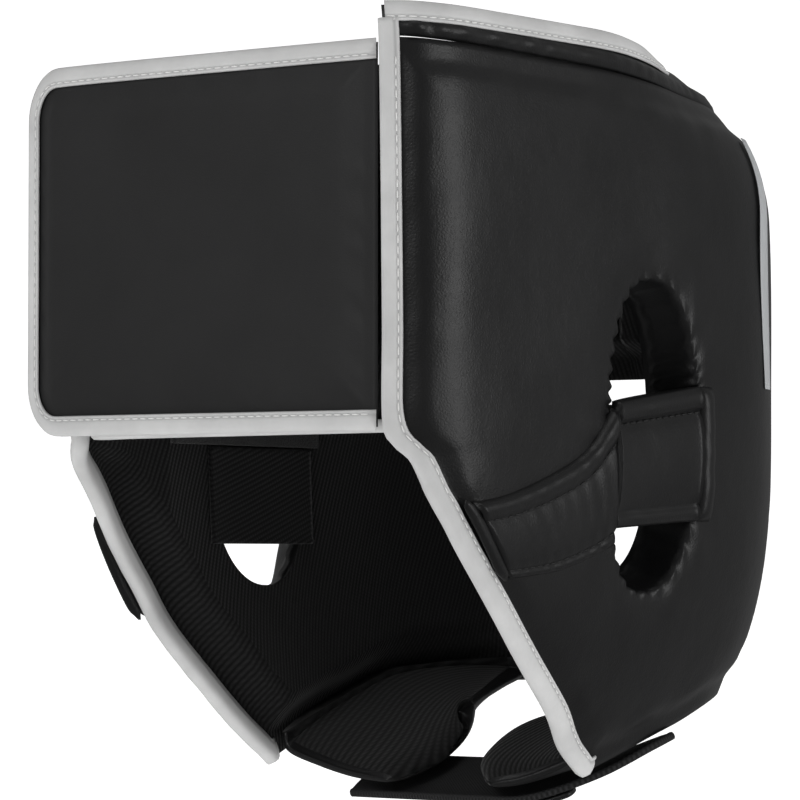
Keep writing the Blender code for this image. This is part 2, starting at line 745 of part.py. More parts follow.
def thick_sheet(name, grid, thick, edge_share, colour, roughness):
    """A closed solid round a grid of middle points: rows along it, columns across it."""
    grid = np.array(grid)
    ahead, across = np.gradient(grid, axis=(0, 1))
    normal = np.cross(ahead, across)
    normal /= np.linalg.norm(normal, axis=2)[:, :, None]
    half = np.full(grid.shape[:2], thick / 2)
    half[:, 0] *= edge_share
    half[:, -1] *= edge_share
    upper, lower = grid + normal * half[:, :, None], grid - normal * half[:, :, None]
    sections = [list(upper[k]) + list(lower[k][::-1]) for k in range(len(grid))]
    return loft(name, sections, colour, roughness)


def chin_flap(side):
    """Padded flap sewn in along the lower edge, reaching in under the chin to a rounded tip."""
    end = FLAP_END_LEFT if side > 0 else FLAP_END_RIGHT
    root_rear = FLAP_ROOT_REAR_LEFT if side > 0 else FLAP_ROOT_REAR_RIGHT
    in_lining = -EDGE_SET_IN - EDGE_THICK - 4 * GAP - FLAP_THICK / 2
    columns = []
    for place in np.linspace(-1, 1, 9):
        y = FLAP_ROOT_FRONT + (root_rear - FLAP_ROOT_FRONT) * (place + 1) / 2
        along = along_at(side, y)
        edge = edge_height(side, along)
        rows = [on_skin(side, along, edge + lap, in_lining) for lap in (FLAP_LAP, 0)]
        reach = place * FLAP_WIDTH / 2
        tip = np.array([side * (end + FLAP_ROUND * abs(place) ** 2.5), FLAP_SET_BACK + reach,
                        -JAW_DROP + FLAP_RISE + reach * FLAP_TILT])
        for share in (0.30, 0.60, 0.85, 1.0):
            sag = FLAP_SAG * np.sin(np.pi * share) * (1 - place) / 2
            rows.append(rows[1] + (tip - rows[1]) * share - np.array([0, 0, sag]))
        columns.append(curve_through(rows, 13))
    grid = np.transpose(np.array(columns), (1, 0, 2))
    return thick_sheet(f"chin_flap_{side_word(side)}", grid, FLAP_THICK, 0.35, KNIT, 0.8)


def strap_hem(y):
    """Outer edge of the strap, under the left panel's lower edge."""
    along = along_at(1, y)
    return on_skin(1, along, edge_height(1, along) - 3 * GAP - CHIN_STRAP_THICK / 2, 0)


def chin_strap_rows():
    """Middle points and width directions of the strap, left sewn end first."""
    slope = np.sqrt(1 + FLAP_TILT ** 2)
    across = np.array([0, 1, FLAP_TILT]) / slope
    below = np.array([0, FLAP_TILT, -1]) / slope
    apart = FLAP_THICK / 2 + STRAP_UNDER + CHIN_STRAP_THICK / 2
    under = np.array([0, FLAP_SET_BACK, -JAW_DROP + FLAP_RISE]) + below * apart - across * STRAP_FORWARD
    hem = strap_hem(STRAP_ROOT_BACK)
    side_on = np.array([-1, 0, -0.35]) / np.sqrt(1 + 0.35 ** 2)
    inward = side_on * STRAP_WIDTH / 2
    rows = (
        (hem + inward, side_on),
        (strap_hem(0.82 * STRAP_ROOT_BACK) + inward, side_on),
        ((0.70 * hem[0], under[1] + 0.46 * STRAP_WIDTH, under[2] + 0.12 * STRAP_WIDTH), (-0.80, 0.58, 0.0)),
        ((0.52 * hem[0], under[1] + 0.10 * STRAP_WIDTH, under[2]), (-0.28, 0.85, 0.40)),
        ((0.30 * hem[0], *under[1:]), across),
        ((0.0, *under[1:]), across),
        ((-CHIN_STRAP_END, *under[1:]), across),
    )
    flat = [list(point) + list(np.array(way) / np.linalg.norm(way)) for point, way in rows]
    return curve_through(flat, 21)


def strap_sheet(name, rows, halves, thick, roughness):
    grid = [[row[:3] + row[3:] * half * place for place in (-1, 0, 1)] for row, half in zip(rows, halves)]
    return thick_sheet(name, grid, thick, 0.8, BLACK, roughness)


def chin_strap():
    rows = chin_strap_rows()
    return strap_sheet("chin_strap", rows, [STRAP_WIDTH / 2] * len(rows), CHIN_STRAP_THICK, 0.5)


def chin_strap_tab():
    """Second layer of the strap, its rounded end under the left flap."""
    rows = chin_strap_rows()[11:19].copy()
    below = np.array([0, FLAP_TILT, -1]) / np.sqrt(1 + FLAP_TILT ** 2)
    rows[:, :3] += below * ((CHIN_STRAP_THICK + CHIN_TAB_THICK) / 2 + GAP)
    shares = np.linspace(1, 0, len(rows))
    halves = STRAP_WIDTH / 2 * np.sqrt(1 - 0.75 * np.maximum(0, (shares - 0.8) / 0.2) ** 2)
    return strap_sheet("chin_strap_tab", rows, halves, CHIN_TAB_THICK, 0.45)


def rear_panel():
    """Padded panel between the side panels, over the wedge gap."""
    reach = BACK_GAP_HALF - GAP
    stations = (1, 1 - LAND_WIDTH / reach, 1 - (LAND_WIDTH + SLOPE_WIDTH) / reach)
    runs = [-reach * k for k in stations] + [0] + [reach * k for k in reversed(stations)]
    sections = []
    for run in runs:
        side = 1 if run >= 0 else -1
        foot, head = -BACK_GAP_TOP, seam_height(side, abs(run))
        steps = [0, LAND_WIDTH, LAND_WIDTH + SLOPE_WIDTH]
        middle = np.linspace(foot + steps[2], head - steps[2], 5)[1:-1]
        heights = [foot + k for k in steps] + list(middle) + [head - k for k in reversed(steps)]
        outer, inner = [], []
        for height in heights:
            edge = min(reach - abs(run), height - foot, head - height)
            full = np.clip((edge - LAND_WIDTH) / SLOPE_WIDTH, 0, 1)
            depth = EDGE_SET_IN + EDGE_THICK
            outer.append(on_skin(side, abs(run), height, -EDGE_SET_IN * (1 - full)))
            inner.append(on_skin(side, abs(run), height, -depth - (PANEL_THICK - depth) * full))
        sections.append(outer + inner[::-1])
    return loft("rear_panel", sections, BLACK, 0.5)


def build():
    for thing in list(bpy.data.objects):
        bpy.data.objects.remove(thing, do_unlink=True)
    forehead_pad()
    pad_tape()
    forehead_base()
    brow_tape()
    crown_pad()
    rear_panel()
    rear_closure()
    chin_strap()
    chin_strap_tab()
    for side in (1, -1):
        side_panel(side)
        face_tape(side)
        top_band(side)
        top_tape(side)
        ear_strap(side)
        ear_tab(side)
        ear_bridge(side)
        ear_anchor(side)
        inner_strip(side)
        chin_flap(side)


build()
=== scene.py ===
# %% [markdown]
# A boxing headgear is foam sewn between leather and knit, edged with folded tape. The packed
# model gives its solids in metres: -Y is the front, +X the wearer's left, +Z up. Everything
# here is laid over the same head surface, so each soft piece stands where its solid stands.

import math

import bpy
import numpy as np
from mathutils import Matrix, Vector


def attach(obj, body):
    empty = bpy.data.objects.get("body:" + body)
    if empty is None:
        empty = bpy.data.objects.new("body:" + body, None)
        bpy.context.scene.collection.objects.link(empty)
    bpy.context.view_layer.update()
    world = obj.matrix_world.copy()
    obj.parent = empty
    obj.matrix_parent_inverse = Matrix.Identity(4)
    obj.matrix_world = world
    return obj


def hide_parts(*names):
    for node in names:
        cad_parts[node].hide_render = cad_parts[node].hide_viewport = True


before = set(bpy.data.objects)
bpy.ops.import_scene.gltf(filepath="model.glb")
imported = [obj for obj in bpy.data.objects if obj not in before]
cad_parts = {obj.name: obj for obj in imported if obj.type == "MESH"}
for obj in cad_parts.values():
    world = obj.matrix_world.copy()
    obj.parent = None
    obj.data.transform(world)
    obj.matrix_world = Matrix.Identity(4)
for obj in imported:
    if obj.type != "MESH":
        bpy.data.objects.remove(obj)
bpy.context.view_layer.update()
MM = 0.001
print("solids in the frame:", len(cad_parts))

# %% [markdown]
# The driving sizes are those of the solids. The headgear is worn, so its sizes are a head's:
# the skin is the outer face of the padding, and every height counts from the seat on the head.

# %% Driving sizes
HEAD_WIDTH = 198 * MM
FRONT_REACH = 112 * MM
BACK_REACH = 152 * MM
TOP_RISE, TOP_RISE_RIGHT = 22 * MM, 15 * MM
BROW_DROP, JAW_DROP, NAPE_DROP = 117 * MM, 232 * MM, 203 * MM
PANEL_THICK = 20 * MM
EDGE_THICK, EDGE_SET_IN = 3 * MM, 2 * MM
TAPE_WIDTH, TAPE_THICK = 5.5 * MM, 1.1 * MM
SLOPE_WIDTH = 8 * MM
LAND_WIDTH = TAPE_WIDTH + 2 * MM
GAP, LAY = 0.4 * MM, 0.9 * MM
EAR_BACK_OF_SEAT, EAR_DROP = 16 * MM, 115 * MM
EAR_WIDTH, EAR_HEIGHT = 46 * MM, 102 * MM
BAND_HEIGHT, BAND_FALL, TOP_FALL = 10.5 * MM, 6 * MM, 4 * MM
DOME_START, DOME_CLOSE, DOME_POWER = 35 * MM, 0.255, 2.2
BACK_GAP_TOP, BACK_GAP_FOOT, BACK_GAP_HALF = 88 * MM, 166 * MM, 25 * MM
STITCH_PITCH, STITCH_LONG, STITCH_HALF = 3.6 * MM, 2.7 * MM, 0.28 * MM
PITCH = 2.4 * MM

PLAN_LEFT = (
    # side share of half the width, depth share of the front or back reach
    (0.828, -1.000), (0.911, -0.941), (0.954, -0.855), (0.978, -0.730), (0.990, -0.400), (1.000, 0.000),
    (1.005, 0.316), (0.945, 0.605), (0.737, 0.829), (0.404, 0.961), (0.000, 1.000),
)
PLAN_RIGHT = ((0.828, -0.741), (0.899, -0.679), (0.950, -0.554)) + PLAN_LEFT[4:]
UPRIGHT = (
    # height share of the jaw drop, side share, back share
    (-1.10, 0.650, 0.800), (-1.00, 0.735, 0.845), (-0.88, 0.850, 0.905), (-0.75, 0.945, 0.965),
    (-0.62, 0.990, 0.995), (-0.45, 1.000, 1.000), (0.00, 0.985, 1.000), (0.12, 0.965, 1.000),
)
print("outer width over the ears:", HEAD_WIDTH, "m")

# %% [markdown]
# A smooth line through a few chosen points keeps the tables short. The Catmull-Rom curve is
# used because it passes through its points, so a table row is a place one can measure.

# %% Curves through points
def curve_through(rows, count):
    knots = np.array(rows, float)
    ends = np.vstack([2 * knots[0] - knots[1], knots, 2 * knots[-1] - knots[-2]])
    dense = []
    for k in range(1, len(ends) - 2):
        a, b, c, d = ends[k - 1:k + 3]
        for t in np.linspace(0, 1, 16, endpoint=False):
            dense.append(0.5 * (2 * b + (c - a) * t + (2 * a - 5 * b + 4 * c - d) * t ** 2
                                + (3 * b - a - 3 * c + d) * t ** 3))
    dense = np.array(dense + [knots[-1]])
    run = run_along(dense)
    return sample(dense, run, np.linspace(0, run[-1], count))


def sample(points, run, where):
    """Places on a line of points, at given runs along it."""
    return np.stack([np.interp(where, run, column) for column in points.T], axis=-1)


def run_along(points):
    return np.concatenate([[0], np.cumsum(np.linalg.norm(np.diff(points, axis=0), axis=1))])


def smooth(value):
    value = np.clip(value, 0, 1)
    return value * value * (3 - 2 * value)


def waves(place, seed, count=5):
    """Soft irregular waves between about -1 and 1, the same in every run."""
    draw = np.random.default_rng(seed)
    total = 0
    for _ in range(count):
        total = total + np.sin(place * draw.uniform(0.6, 1.7) + draw.uniform(0, 6.3))
    return total / count ** 0.7


print("curve of five points:", curve_through([(0, 0), (1, 1), (2, 0)], 5).round(2).tolist())

# %% [markdown]
# The padded body follows the head: a plan outline seen from above, narrowed at the jaw and
# closed in at the rear of the crown. A point of it is named by its run round the plan from the
# rear middle and by its height. Pieces that lie on the padding are lifted along its normal.

# %% The head surface
def plan_curve(rows):
    points = [(side * HEAD_WIDTH / 2, depth * (FRONT_REACH if depth < 0 else BACK_REACH))
              for side, depth in reversed(rows)]
    curve = curve_through(points, 900)
    return curve, run_along(curve)


PLANS = {1: plan_curve(PLAN_LEFT), -1: plan_curve(PLAN_RIGHT)}
UPRIGHT_CURVE = curve_through(UPRIGHT, 120)


def plan_length(side):
    return PLANS[side][1][-1]


def along_at(side, y):
    curve, run = PLANS[side]
    return np.interp(-np.asarray(y), -curve[:, 1], run)


def skin(side, along, height):
    along, height = np.broadcast_arrays(np.asarray(along, float), np.asarray(height, float))
    curve, run = PLANS[side]
    heading = (curve[-1] - curve[-20]) / np.linalg.norm(curve[-1] - curve[-20])
    past = np.maximum(along - run[-1], 0)
    x = np.interp(along, run, curve[:, 0]) + heading[0] * past
    y = np.interp(along, run, curve[:, 1]) + heading[1] * past
    share = height / JAW_DROP
    x = x * np.interp(share, UPRIGHT_CURVE[:, 0], UPRIGHT_CURVE[:, 1])
    y = np.where(y > 0, y * np.interp(share, UPRIGHT_CURVE[:, 0], UPRIGHT_CURVE[:, 2]), y)
    closed = DOME_CLOSE * np.maximum(0, (height + DOME_START) / (TOP_RISE + DOME_START)) ** DOME_POWER
    keep = 1 - closed * smooth((y + 0.10 * BACK_REACH) / (0.70 * BACK_REACH))
    return np.stack([side * x * keep, y * keep, height], axis=-1)


def on_skin(side, along, height, lift):
    along, height, lift = np.broadcast_arrays(np.asarray(along, float), height, lift)
    step = 1.5 * MM
    run = skin(side, along + step, height) - skin(side, np.maximum(along - step, 0), height)
    rise = skin(side, along, height + step) - skin(side, along, height - step)
    normal = np.cross(rise, run) * side
    normal[..., 0] = np.where(along < step, 0, normal[..., 0])
    normal /= np.linalg.norm(normal, axis=-1)[..., None]
    return skin(side, along, height) + normal * lift[..., None]


print("run round the left half:", round(plan_length(1), 4), "m")

# %% [markdown]
# Every mesh here is a sheet of rows and columns, closed or open. One maker builds them all: it
# takes grid points, joins them with quads, gives each column its finish and stores where each
# point lies on the cloth, in metres, so a weave or rib can follow the piece.

# %% A mesh from rows of points
def word(side):
    return "left" if side > 0 else "right"


def piece_from_grid(name, grid, finishes, lay=None, around=True, ring=False, column_finish=None):
    """Rows of points; around closes each row on itself, ring closes the last row on the first."""
    grid = np.array(grid, float)
    rows, columns = grid.shape[:2]
    faces, kinds = [], []
    for k in range(rows if ring else rows - 1):
        a, b = k * columns, ((k + 1) % rows) * columns
        for i in range(columns if around else columns - 1):
            j = (i + 1) % columns
            faces.append((a + i, a + j, b + j, b + i))
            kinds.append(column_finish[i] if column_finish is not None else 0)
    if around and not ring:
        faces.append(tuple(reversed(range(columns))))
        faces.append(tuple(range((rows - 1) * columns, rows * columns)))
        kinds += [0, 0]
    mesh = bpy.data.meshes.new(name)
    mesh.from_pydata(grid.reshape(-1, 3).tolist(), [], faces)
    mesh.polygons.foreach_set("material_index", kinds)
    if lay is not None:
        store = mesh.attributes.new("lay", "FLOAT_VECTOR", "POINT")
        flat = np.zeros((rows * columns, 3))
        flat[:, :2] = np.array(lay).reshape(-1, 2)
        store.data.foreach_set("vector", flat.ravel())
    volume = sum(mesh.vertices[f[0]].co.dot(mesh.vertices[f[1]].co.cross(mesh.vertices[f[2]].co))
                 + mesh.vertices[f[0]].co.dot(mesh.vertices[f[2]].co.cross(mesh.vertices[f[3]].co))
                 for f in faces if len(f) == 4)
    if around and volume < 0:
        mesh.flip_normals()
    mesh.shade_smooth()
    for finish in finishes:
        mesh.materials.append(finish)
    return place_object(name, mesh)


def place_object(name, data):
    thing = bpy.data.objects.new(name, data)
    bpy.context.scene.collection.objects.link(thing)
    return thing


def sections_of(loops):
    """Loops that run along a piece, turned into sections across it."""
    return np.transpose(np.array(loops), (1, 0, 2))


def wear(piece, slot, *nodes):
    """A finished piece rides on the one body and stands for its solids."""
    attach(piece, "root")
    if nodes:
        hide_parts(*nodes)
    print(piece.name, len(piece.data.vertices), "points")
    return piece


# %% [markdown]
# Shader maths reads best as plain sums. This small class wraps a socket, so that a mask can be
# added, multiplied or turned round with the usual signs, and one call makes any other node.

# %% Finishes as sums of sockets
class Wire:
    def __init__(self, tree, socket):
        self.tree, self.socket = tree, socket

    def maths(self, kind, *others, swap=False):
        node = self.tree.nodes.new("ShaderNodeMath")
        node.operation = kind
        values = [self, *others]
        if swap:
            values.reverse()
        for slot, value in zip(node.inputs, values):
            join(self.tree, slot, value)
        return Wire(self.tree, node.outputs[0])

    def __add__(self, other): return self.maths("ADD", other)
    def __radd__(self, other): return self.maths("ADD", other, swap=True)
    def __sub__(self, other): return self.maths("SUBTRACT", other)
    def __rsub__(self, other): return self.maths("SUBTRACT", other, swap=True)
    def __mul__(self, other): return self.maths("MULTIPLY", other)
    def __rmul__(self, other): return self.maths("MULTIPLY", other, swap=True)

    def sine(self): return self.maths("SINE")
    def size(self): return self.maths("ABSOLUTE")


def join(tree, slot, value):
    if isinstance(value, Wire):
        tree.links.new(value.socket, slot)
    else:
        slot.default_value = value


class Finish:
    """One material: its maker calls node() for textures and shade() for the shader's own sockets."""
    def __init__(self, name, **settings):
        self.stuff = bpy.data.materials.new(name)
        self.stuff.use_nodes = True
        self.tree = self.stuff.node_tree
        self.shader = self.tree.nodes["Principled BSDF"]
        for socket, value in settings.items():
            self.shader.inputs[socket.replace("_", " ")].default_value = value
        print("finish:", name)

    def node(self, kind, settings=None, out=0, **values):
        made = self.tree.nodes.new(kind)
        for key, value in (settings or {}).items():
            setattr(made, key, value)
        for key, value in values.items():
            join(self.tree, made.inputs[key.replace("_", " ")], value)
        return Wire(self.tree, made.outputs[out])

    def place(self):
        return self.node("ShaderNodeTexCoord", out=3)

    def noise(self, per_metre, detail=3.0, rough=0.55):
        return self.node("ShaderNodeTexNoise", Vector=self.place(), Scale=per_metre, Detail=detail, Roughness=rough)

    def cells(self, per_metre):
        return self.node("ShaderNodeTexVoronoi", {"feature": "DISTANCE_TO_EDGE"}, Vector=self.place(), Scale=per_metre)

    def lay(self):
        """Place on the cloth, in metres: across and along."""
        at = self.node("ShaderNodeAttribute", {"attribute_name": "lay"}, out=1)
        split = self.tree.nodes.new("ShaderNodeSeparateXYZ")
        join(self.tree, split.inputs[0], at)
        return Wire(self.tree, split.outputs[0]), Wire(self.tree, split.outputs[1])

    def mix(self, share, first, second):
        made = self.tree.nodes.new("ShaderNodeMix")
        made.data_type = "RGBA"
        join(self.tree, made.inputs[0], share)
        join(self.tree, made.inputs[6], (*first, 1))
        join(self.tree, made.inputs[7], (*second, 1))
        return Wire(self.tree, made.outputs[2])

    def bump(self, height, deep, strength=1.0):
        self.shade("Normal", self.node("ShaderNodeBump", Height=height, Distance=deep, Strength=strength))

    def shade(self, socket, value):
        join(self.tree, self.shader.inputs[socket], value)


# %% [markdown]
# The outer leather is black, fine grained and a little creased, with a satin shine that is
# uneven where it has been handled. Cells give the pores, two noises give creases and shine.

# %% Leather
def smooth_leather():
    made = Finish("smooth_leather", Specular_IOR_Level=0.30, Coat_Roughness=0.35)
    pores = made.cells(820)
    creases = made.noise(95, 4)
    shine = made.noise(28, 3)
    made.shade("Base Color", made.mix(shine, (0.0035, 0.0035, 0.0037), (0.008, 0.008, 0.0083)))
    made.shade("Roughness", 0.31 + shine * 0.14 + creases * 0.06)
    made.shade("Coat Weight", shine * 0.12)
    made.bump(pores * 0.5 + creases * 1.6, 0.35 * MM, 0.55)
    return made.stuff


def matte_leather():
    made = Finish("matte_leather", Specular_IOR_Level=0.25)
    pores = made.cells(1050)
    cloud = made.noise(22, 3)
    creases = made.noise(120, 3)
    made.shade("Base Color", made.mix(cloud, (0.012, 0.012, 0.0122), (0.020, 0.020, 0.0204)))
    made.shade("Roughness", 0.50 + cloud * 0.12)
    made.bump(pores * 0.5 + creases * 0.7, 0.25 * MM, 0.45)
    return made.stuff


SMOOTH_LEATHER = smooth_leather()
MATTE_LEATHER = matte_leather()

# %% [markdown]
# The binding is a white coated tape, softly grained and a little greyer where hands touch it; along its sunken seam
# line it is painted grey as shade.
# The lining is a ribbed knit: ribs side by side, each a row of small loops, so both come from
# sines along the cloth. The strap is a close weave, and hook tape is a dense fuzz.

# %% Tape, knit, webbing and fuzz
# SEAM_SHADE is the half-width of the shade painted grey beside the sunken seam line.
SEAM_IN, SEAM_SHADE = TAPE_WIDTH - 1.5 * MM, 0.9 * MM


def white_tape():
    made = Finish("white_tape", Specular_IOR_Level=0.4)
    grain = made.noise(900, 3)
    touched = made.noise(40, 4)
    inset, _ = made.lay()
    # Painted shade: a band along the sunken seam line is drawn grey, as if shade fell in it.
    beside = (inset - SEAM_IN).size() * (1 / SEAM_SHADE)
    seam_painted_shade = (1 - beside).maths("MAXIMUM", 0.0)
    # Mix share: greyer where hands touched the tape (wear) and in the painted seam shade.
    clean_and_unshaded = touched * (1 - seam_painted_shade * 0.9)
    made.shade("Base Color", made.mix(clean_and_unshaded, (0.36, 0.36, 0.36), (0.66, 0.66, 0.655)))
    made.shade("Roughness", 0.42 + touched * 0.14)
    made.bump(grain, 0.15 * MM, 0.5)
    return made.stuff


def ribbed_knit(name, rib, tilt, loops):
    made = Finish(name, Specular_IOR_Level=0.12, Sheen_Weight=0.10, Sheen_Roughness=0.5)
    across, along = made.lay()
    turned = across * math.cos(tilt) + along * math.sin(tilt)
    down = along * math.cos(tilt) - across * math.sin(tilt)
    ridge = 0.5 + 0.5 * (turned * (2 * math.pi / rib)).sine()
    loop = 0.5 + 0.5 * (down * (2 * math.pi / loops) + ridge * 1.5).sine()
    cloth = ridge * (0.65 + loop * 0.35)
    fuzz = made.noise(1500, 2)
    made.shade("Base Color", made.mix(cloth, (0.003, 0.003, 0.003), (0.0135, 0.0135, 0.0137)))
    made.shade("Roughness", 0.86 - cloth * 0.10)
    made.bump(cloth + fuzz * 0.15, 0.4 * MM, 0.6)
    return made.stuff


def webbing():
    made = Finish("webbing", Specular_IOR_Level=0.3)
    across, along = made.lay()
    warp = (across * (2 * math.pi / (1.3 * MM))).sine()
    weft = (along * (2 * math.pi / (1.1 * MM))).sine()
    weave = 0.5 + warp * weft * 0.5
    made.shade("Base Color", made.mix(weave, (0.005, 0.005, 0.005), (0.020, 0.020, 0.021)))
    made.shade("Roughness", 0.60 + weave * 0.1)
    made.bump(weave, 0.25 * MM, 0.6)
    return made.stuff


def hook_fuzz():
    made = Finish("hook_and_loop", Specular_IOR_Level=0.1, Sheen_Weight=0.12, Sheen_Roughness=0.6)
    fuzz = made.noise(1400, 4, 0.7)
    made.shade("Base Color", made.mix(fuzz, (0.003, 0.003, 0.003), (0.016, 0.016, 0.016)))
    made.shade("Roughness", 0.95 - fuzz * 0.05)
    made.bump(fuzz, 0.9 * MM, 1.0)
    return made.stuff


def plain_print(name, colour, roughness):
    made = Finish(name, Specular_IOR_Level=0.5)
    worn = made.noise(180, 3)
    paler = tuple(min(1, c * 1.15) for c in colour)
    made.shade("Base Color", made.mix(worn, colour, paler))
    made.shade("Roughness", roughness + worn * 0.1)
    made.bump(made.cells(820), 0.12 * MM, 0.4)
    return made.stuff


WHITE_TAPE = white_tape()
LINING_KNIT = ribbed_knit("lining_knit", 1.9 * MM, 0.35, 1.5 * MM)
FLAP_KNIT = ribbed_knit("flap_knit", 2.9 * MM, 0.75, 1.9 * MM)
WEBBING = webbing()
HOOK_AND_LOOP = hook_fuzz()
GREY_PRINT = plain_print("grey_print", (0.36, 0.37, 0.38), 0.34)
WHITE_THREAD = plain_print("white_thread", (0.62, 0.62, 0.61), 0.6)
BLACK_THREAD = plain_print("black_thread", (0.012, 0.012, 0.012), 0.55)

# %% [markdown]
# A sewn line is a row of short threads that dive into the leather. Each stitch is a small
# rounded bar, and all the stitches of one seam are one mesh.

# %% Stitches along a line
def stitches(name, points, normals, thread, slot):
    points, normals = np.array(points), np.array(normals)
    run = run_along(points)
    count = max(2, int(run[-1] / STITCH_PITCH))
    vertices, faces = [], []
    shape = ((-0.5, 0.15), (-0.32, 0.8), (0, 1.0), (0.32, 0.8), (0.5, 0.15))
    for middle in (np.arange(count) + 0.5) * run[-1] / count:
        at, up = sample(points, run, middle), sample(normals, run, middle)
        ahead = sample(points, run, min(middle + MM, run[-1])) - sample(points, run, max(middle - MM, 0))
        ahead /= np.linalg.norm(ahead)
        side = np.cross(ahead, up)
        side /= np.linalg.norm(side)
        up = np.cross(side, ahead)
        first = len(vertices)
        for place, swell in shape:
            centre = at + ahead * place * STITCH_LONG + up * STITCH_HALF * (swell - 0.6)
            for angle in np.arange(6) * math.pi / 3:
                vertices.append(centre + (side * math.cos(angle) + up * math.sin(angle)) * STITCH_HALF
                                * (0.45 + 0.55 * swell))
        for k in range(len(shape) - 1):
            for i in range(6):
                a, b = first + k * 6, first + (k + 1) * 6
                faces.append((a + i, a + (i + 1) % 6, b + (i + 1) % 6, b + i))
        faces.append(tuple(first + i for i in reversed(range(6))))
        faces.append(tuple(first + (len(shape) - 1) * 6 + i for i in range(6)))
    mesh = bpy.data.meshes.new(name)
    mesh.from_pydata([tuple(v) for v in vertices], [], faces)
    mesh.shade_smooth()
    mesh.materials.append(thread)
    return wear(place_object(name, mesh), slot)


def sewn_on_skin(name, side, along, height, lift, thread, slot):
    here = on_skin(side, along, height, lift)
    above = on_skin(side, along, height, np.asarray(lift) + 2 * MM)
    return stitches(name, here, (above - here) / (2 * MM), thread, slot)


# %% [markdown]
# A side panel is cut to one outline: down the front edge, along the cheek to the jaw, up the
# lower edge to the nape, and round the wedge at the back. It has an upright oval ear hole.
# The mesh is rings round the hole, because the padding, the rim and the edge all follow rings.

# %% The outline of a side panel
CHEEK_LEFT = (
    # y share of the front reach, drop share from brow to jaw
    (-0.980, 0.030), (-0.950, 0.070), (-0.915, 0.125), (-0.875, 0.185), (-0.720, 0.360), (-0.430, 0.610),
    (-0.150, 0.815), (-0.020, 0.925),
)
CHEEK_RIGHT = (
    (-0.715, 0.025), (-0.640, 0.085), (-0.560, 0.155), (-0.485, 0.240), (-0.345, 0.440), (-0.260, 0.590),
    (-0.120, 0.760), (0.000, 0.900),
)
LOWER = (
    # y share of the back reach, height share from jaw to nape
    (0.095, 0.000), (0.175, 0.120), (0.430, 0.500), (0.720, 0.850),
)


def top_rise(side, along):
    own = TOP_RISE if side > 0 else TOP_RISE_RIGHT
    middle = (TOP_RISE + TOP_RISE_RIGHT) / 2
    return middle + (own - middle) * np.minimum(1, along / (0.4 * plan_length(side)))


def seam_height(side, along):
    return top_rise(side, along) - BAND_HEIGHT - BAND_FALL * (1 - along / plan_length(side))


def band_top(side, along):
    return top_rise(side, along) - TOP_FALL * np.clip(1 - along / (0.62 * plan_length(side)), 0, 1)


def resample(points, pitch):
    run = run_along(points)
    return sample(points, run, np.linspace(0, run[-1], max(2, int(run[-1] / pitch)) + 1))


def panel_stretches(side):
    """The outline in four stretches: front and cheek, lower edge, rear and top."""
    front = plan_length(side)
    fall = JAW_DROP - BROW_DROP
    cheek = [(front, height) for height in np.linspace(seam_height(side, front), -0.96 * BROW_DROP, 5)]
    cheek += [(along_at(side, y * FRONT_REACH), -BROW_DROP - drop * fall)
              for y, drop in (CHEEK_LEFT if side > 0 else CHEEK_RIGHT)]
    lower = [(along_at(side, y * BACK_REACH), -JAW_DROP + rise * (JAW_DROP - NAPE_DROP)) for y, rise in LOWER]
    cheek.append(lower[0])
    lower.append((2 * GAP, -NAPE_DROP))
    foot = BACK_GAP_HALF * 0.30
    rear = [lower[-1], (2 * GAP, -BACK_GAP_FOOT - foot), (foot, -BACK_GAP_FOOT), (BACK_GAP_HALF, -BACK_GAP_TOP),
            (BACK_GAP_HALF, seam_height(side, BACK_GAP_HALF))]
    top = [(along, seam_height(side, along)) for along in np.linspace(BACK_GAP_HALF, front, 60)]
    return (resample(curve_through(cheek, 400), PITCH), resample(curve_through(lower, 200), PITCH),
            resample(np.array(rear), PITCH), resample(np.array(top), PITCH))


def panel_outline(side):
    return np.vstack([stretch[:-1] for stretch in panel_stretches(side)])


def ear_centre(side):
    return np.array([along_at(side, EAR_BACK_OF_SEAT), -EAR_DROP])


def ear_edge(directions, grow=0.0):
    half = np.array([EAR_WIDTH / 2 + grow, EAR_HEIGHT / 2 + grow])
    power = 2.4
    length = np.sum(np.abs(directions / half) ** power, axis=-1) ** (-1 / power)
    return directions * length[..., None]


def towards(loop, centre, distance):
    before, after = np.roll(loop, 2, axis=0), np.roll(loop, -2, axis=0)
    turn = np.array([[0, -1], [1, 0]])
    first = (loop - before) / np.linalg.norm(loop - before, axis=1)[:, None] @ turn
    second = (after - loop) / np.linalg.norm(after - loop, axis=1)[:, None] @ turn
    ray = (centre - loop) / np.linalg.norm(centre - loop, axis=1)[:, None]
    slant = np.minimum(np.sum(ray * first, axis=1), np.sum(ray * second, axis=1))
    slant = np.clip(slant, 0.5, 1)
    slant = (slant + np.roll(slant, 1) + np.roll(slant, -1) + np.roll(slant, 2) + np.roll(slant, -2)) / 5
    return loop + ray * (distance / slant)[:, None]


def padded_depth(side, along, full):
    edge = EDGE_SET_IN + EDGE_THICK
    front = np.clip((plan_length(side) - along - 2 * TAPE_WIDTH) / (2 * PANEL_THICK), 0, 1)
    return edge + (PANEL_THICK - edge) * full * front


print("points round the left panel:", len(panel_outline(1)))

# %% [markdown]
# The leather is pulled down under the tape at the edge, swells over the foam and turns in at
# the ear hole, where it is gathered into small pleats. The lining is the same rings seen from
# the head. A closed mesh with two finishes keeps the padding a real volume.

# %% Side panels
EDGE_RINGS = (0, 2.2, 4.2, 5.5, 6.5, 7.5, 9, 11, 13, 16)
HOLE_RINGS = (10, 8, 6.2, 4.8, 3.7, 2.9, 2.3, 1.8, 1.3, 0.8, 0.4, 0)
MIDDLE_RINGS = 20
RIM_DIP = 14 * MM
PLEATS = 46
HOLE_GROW = {1: 0.0, -1: 5 * MM}
RIM_WIDE = {1: 3.2 * MM, -1: 12 * MM}


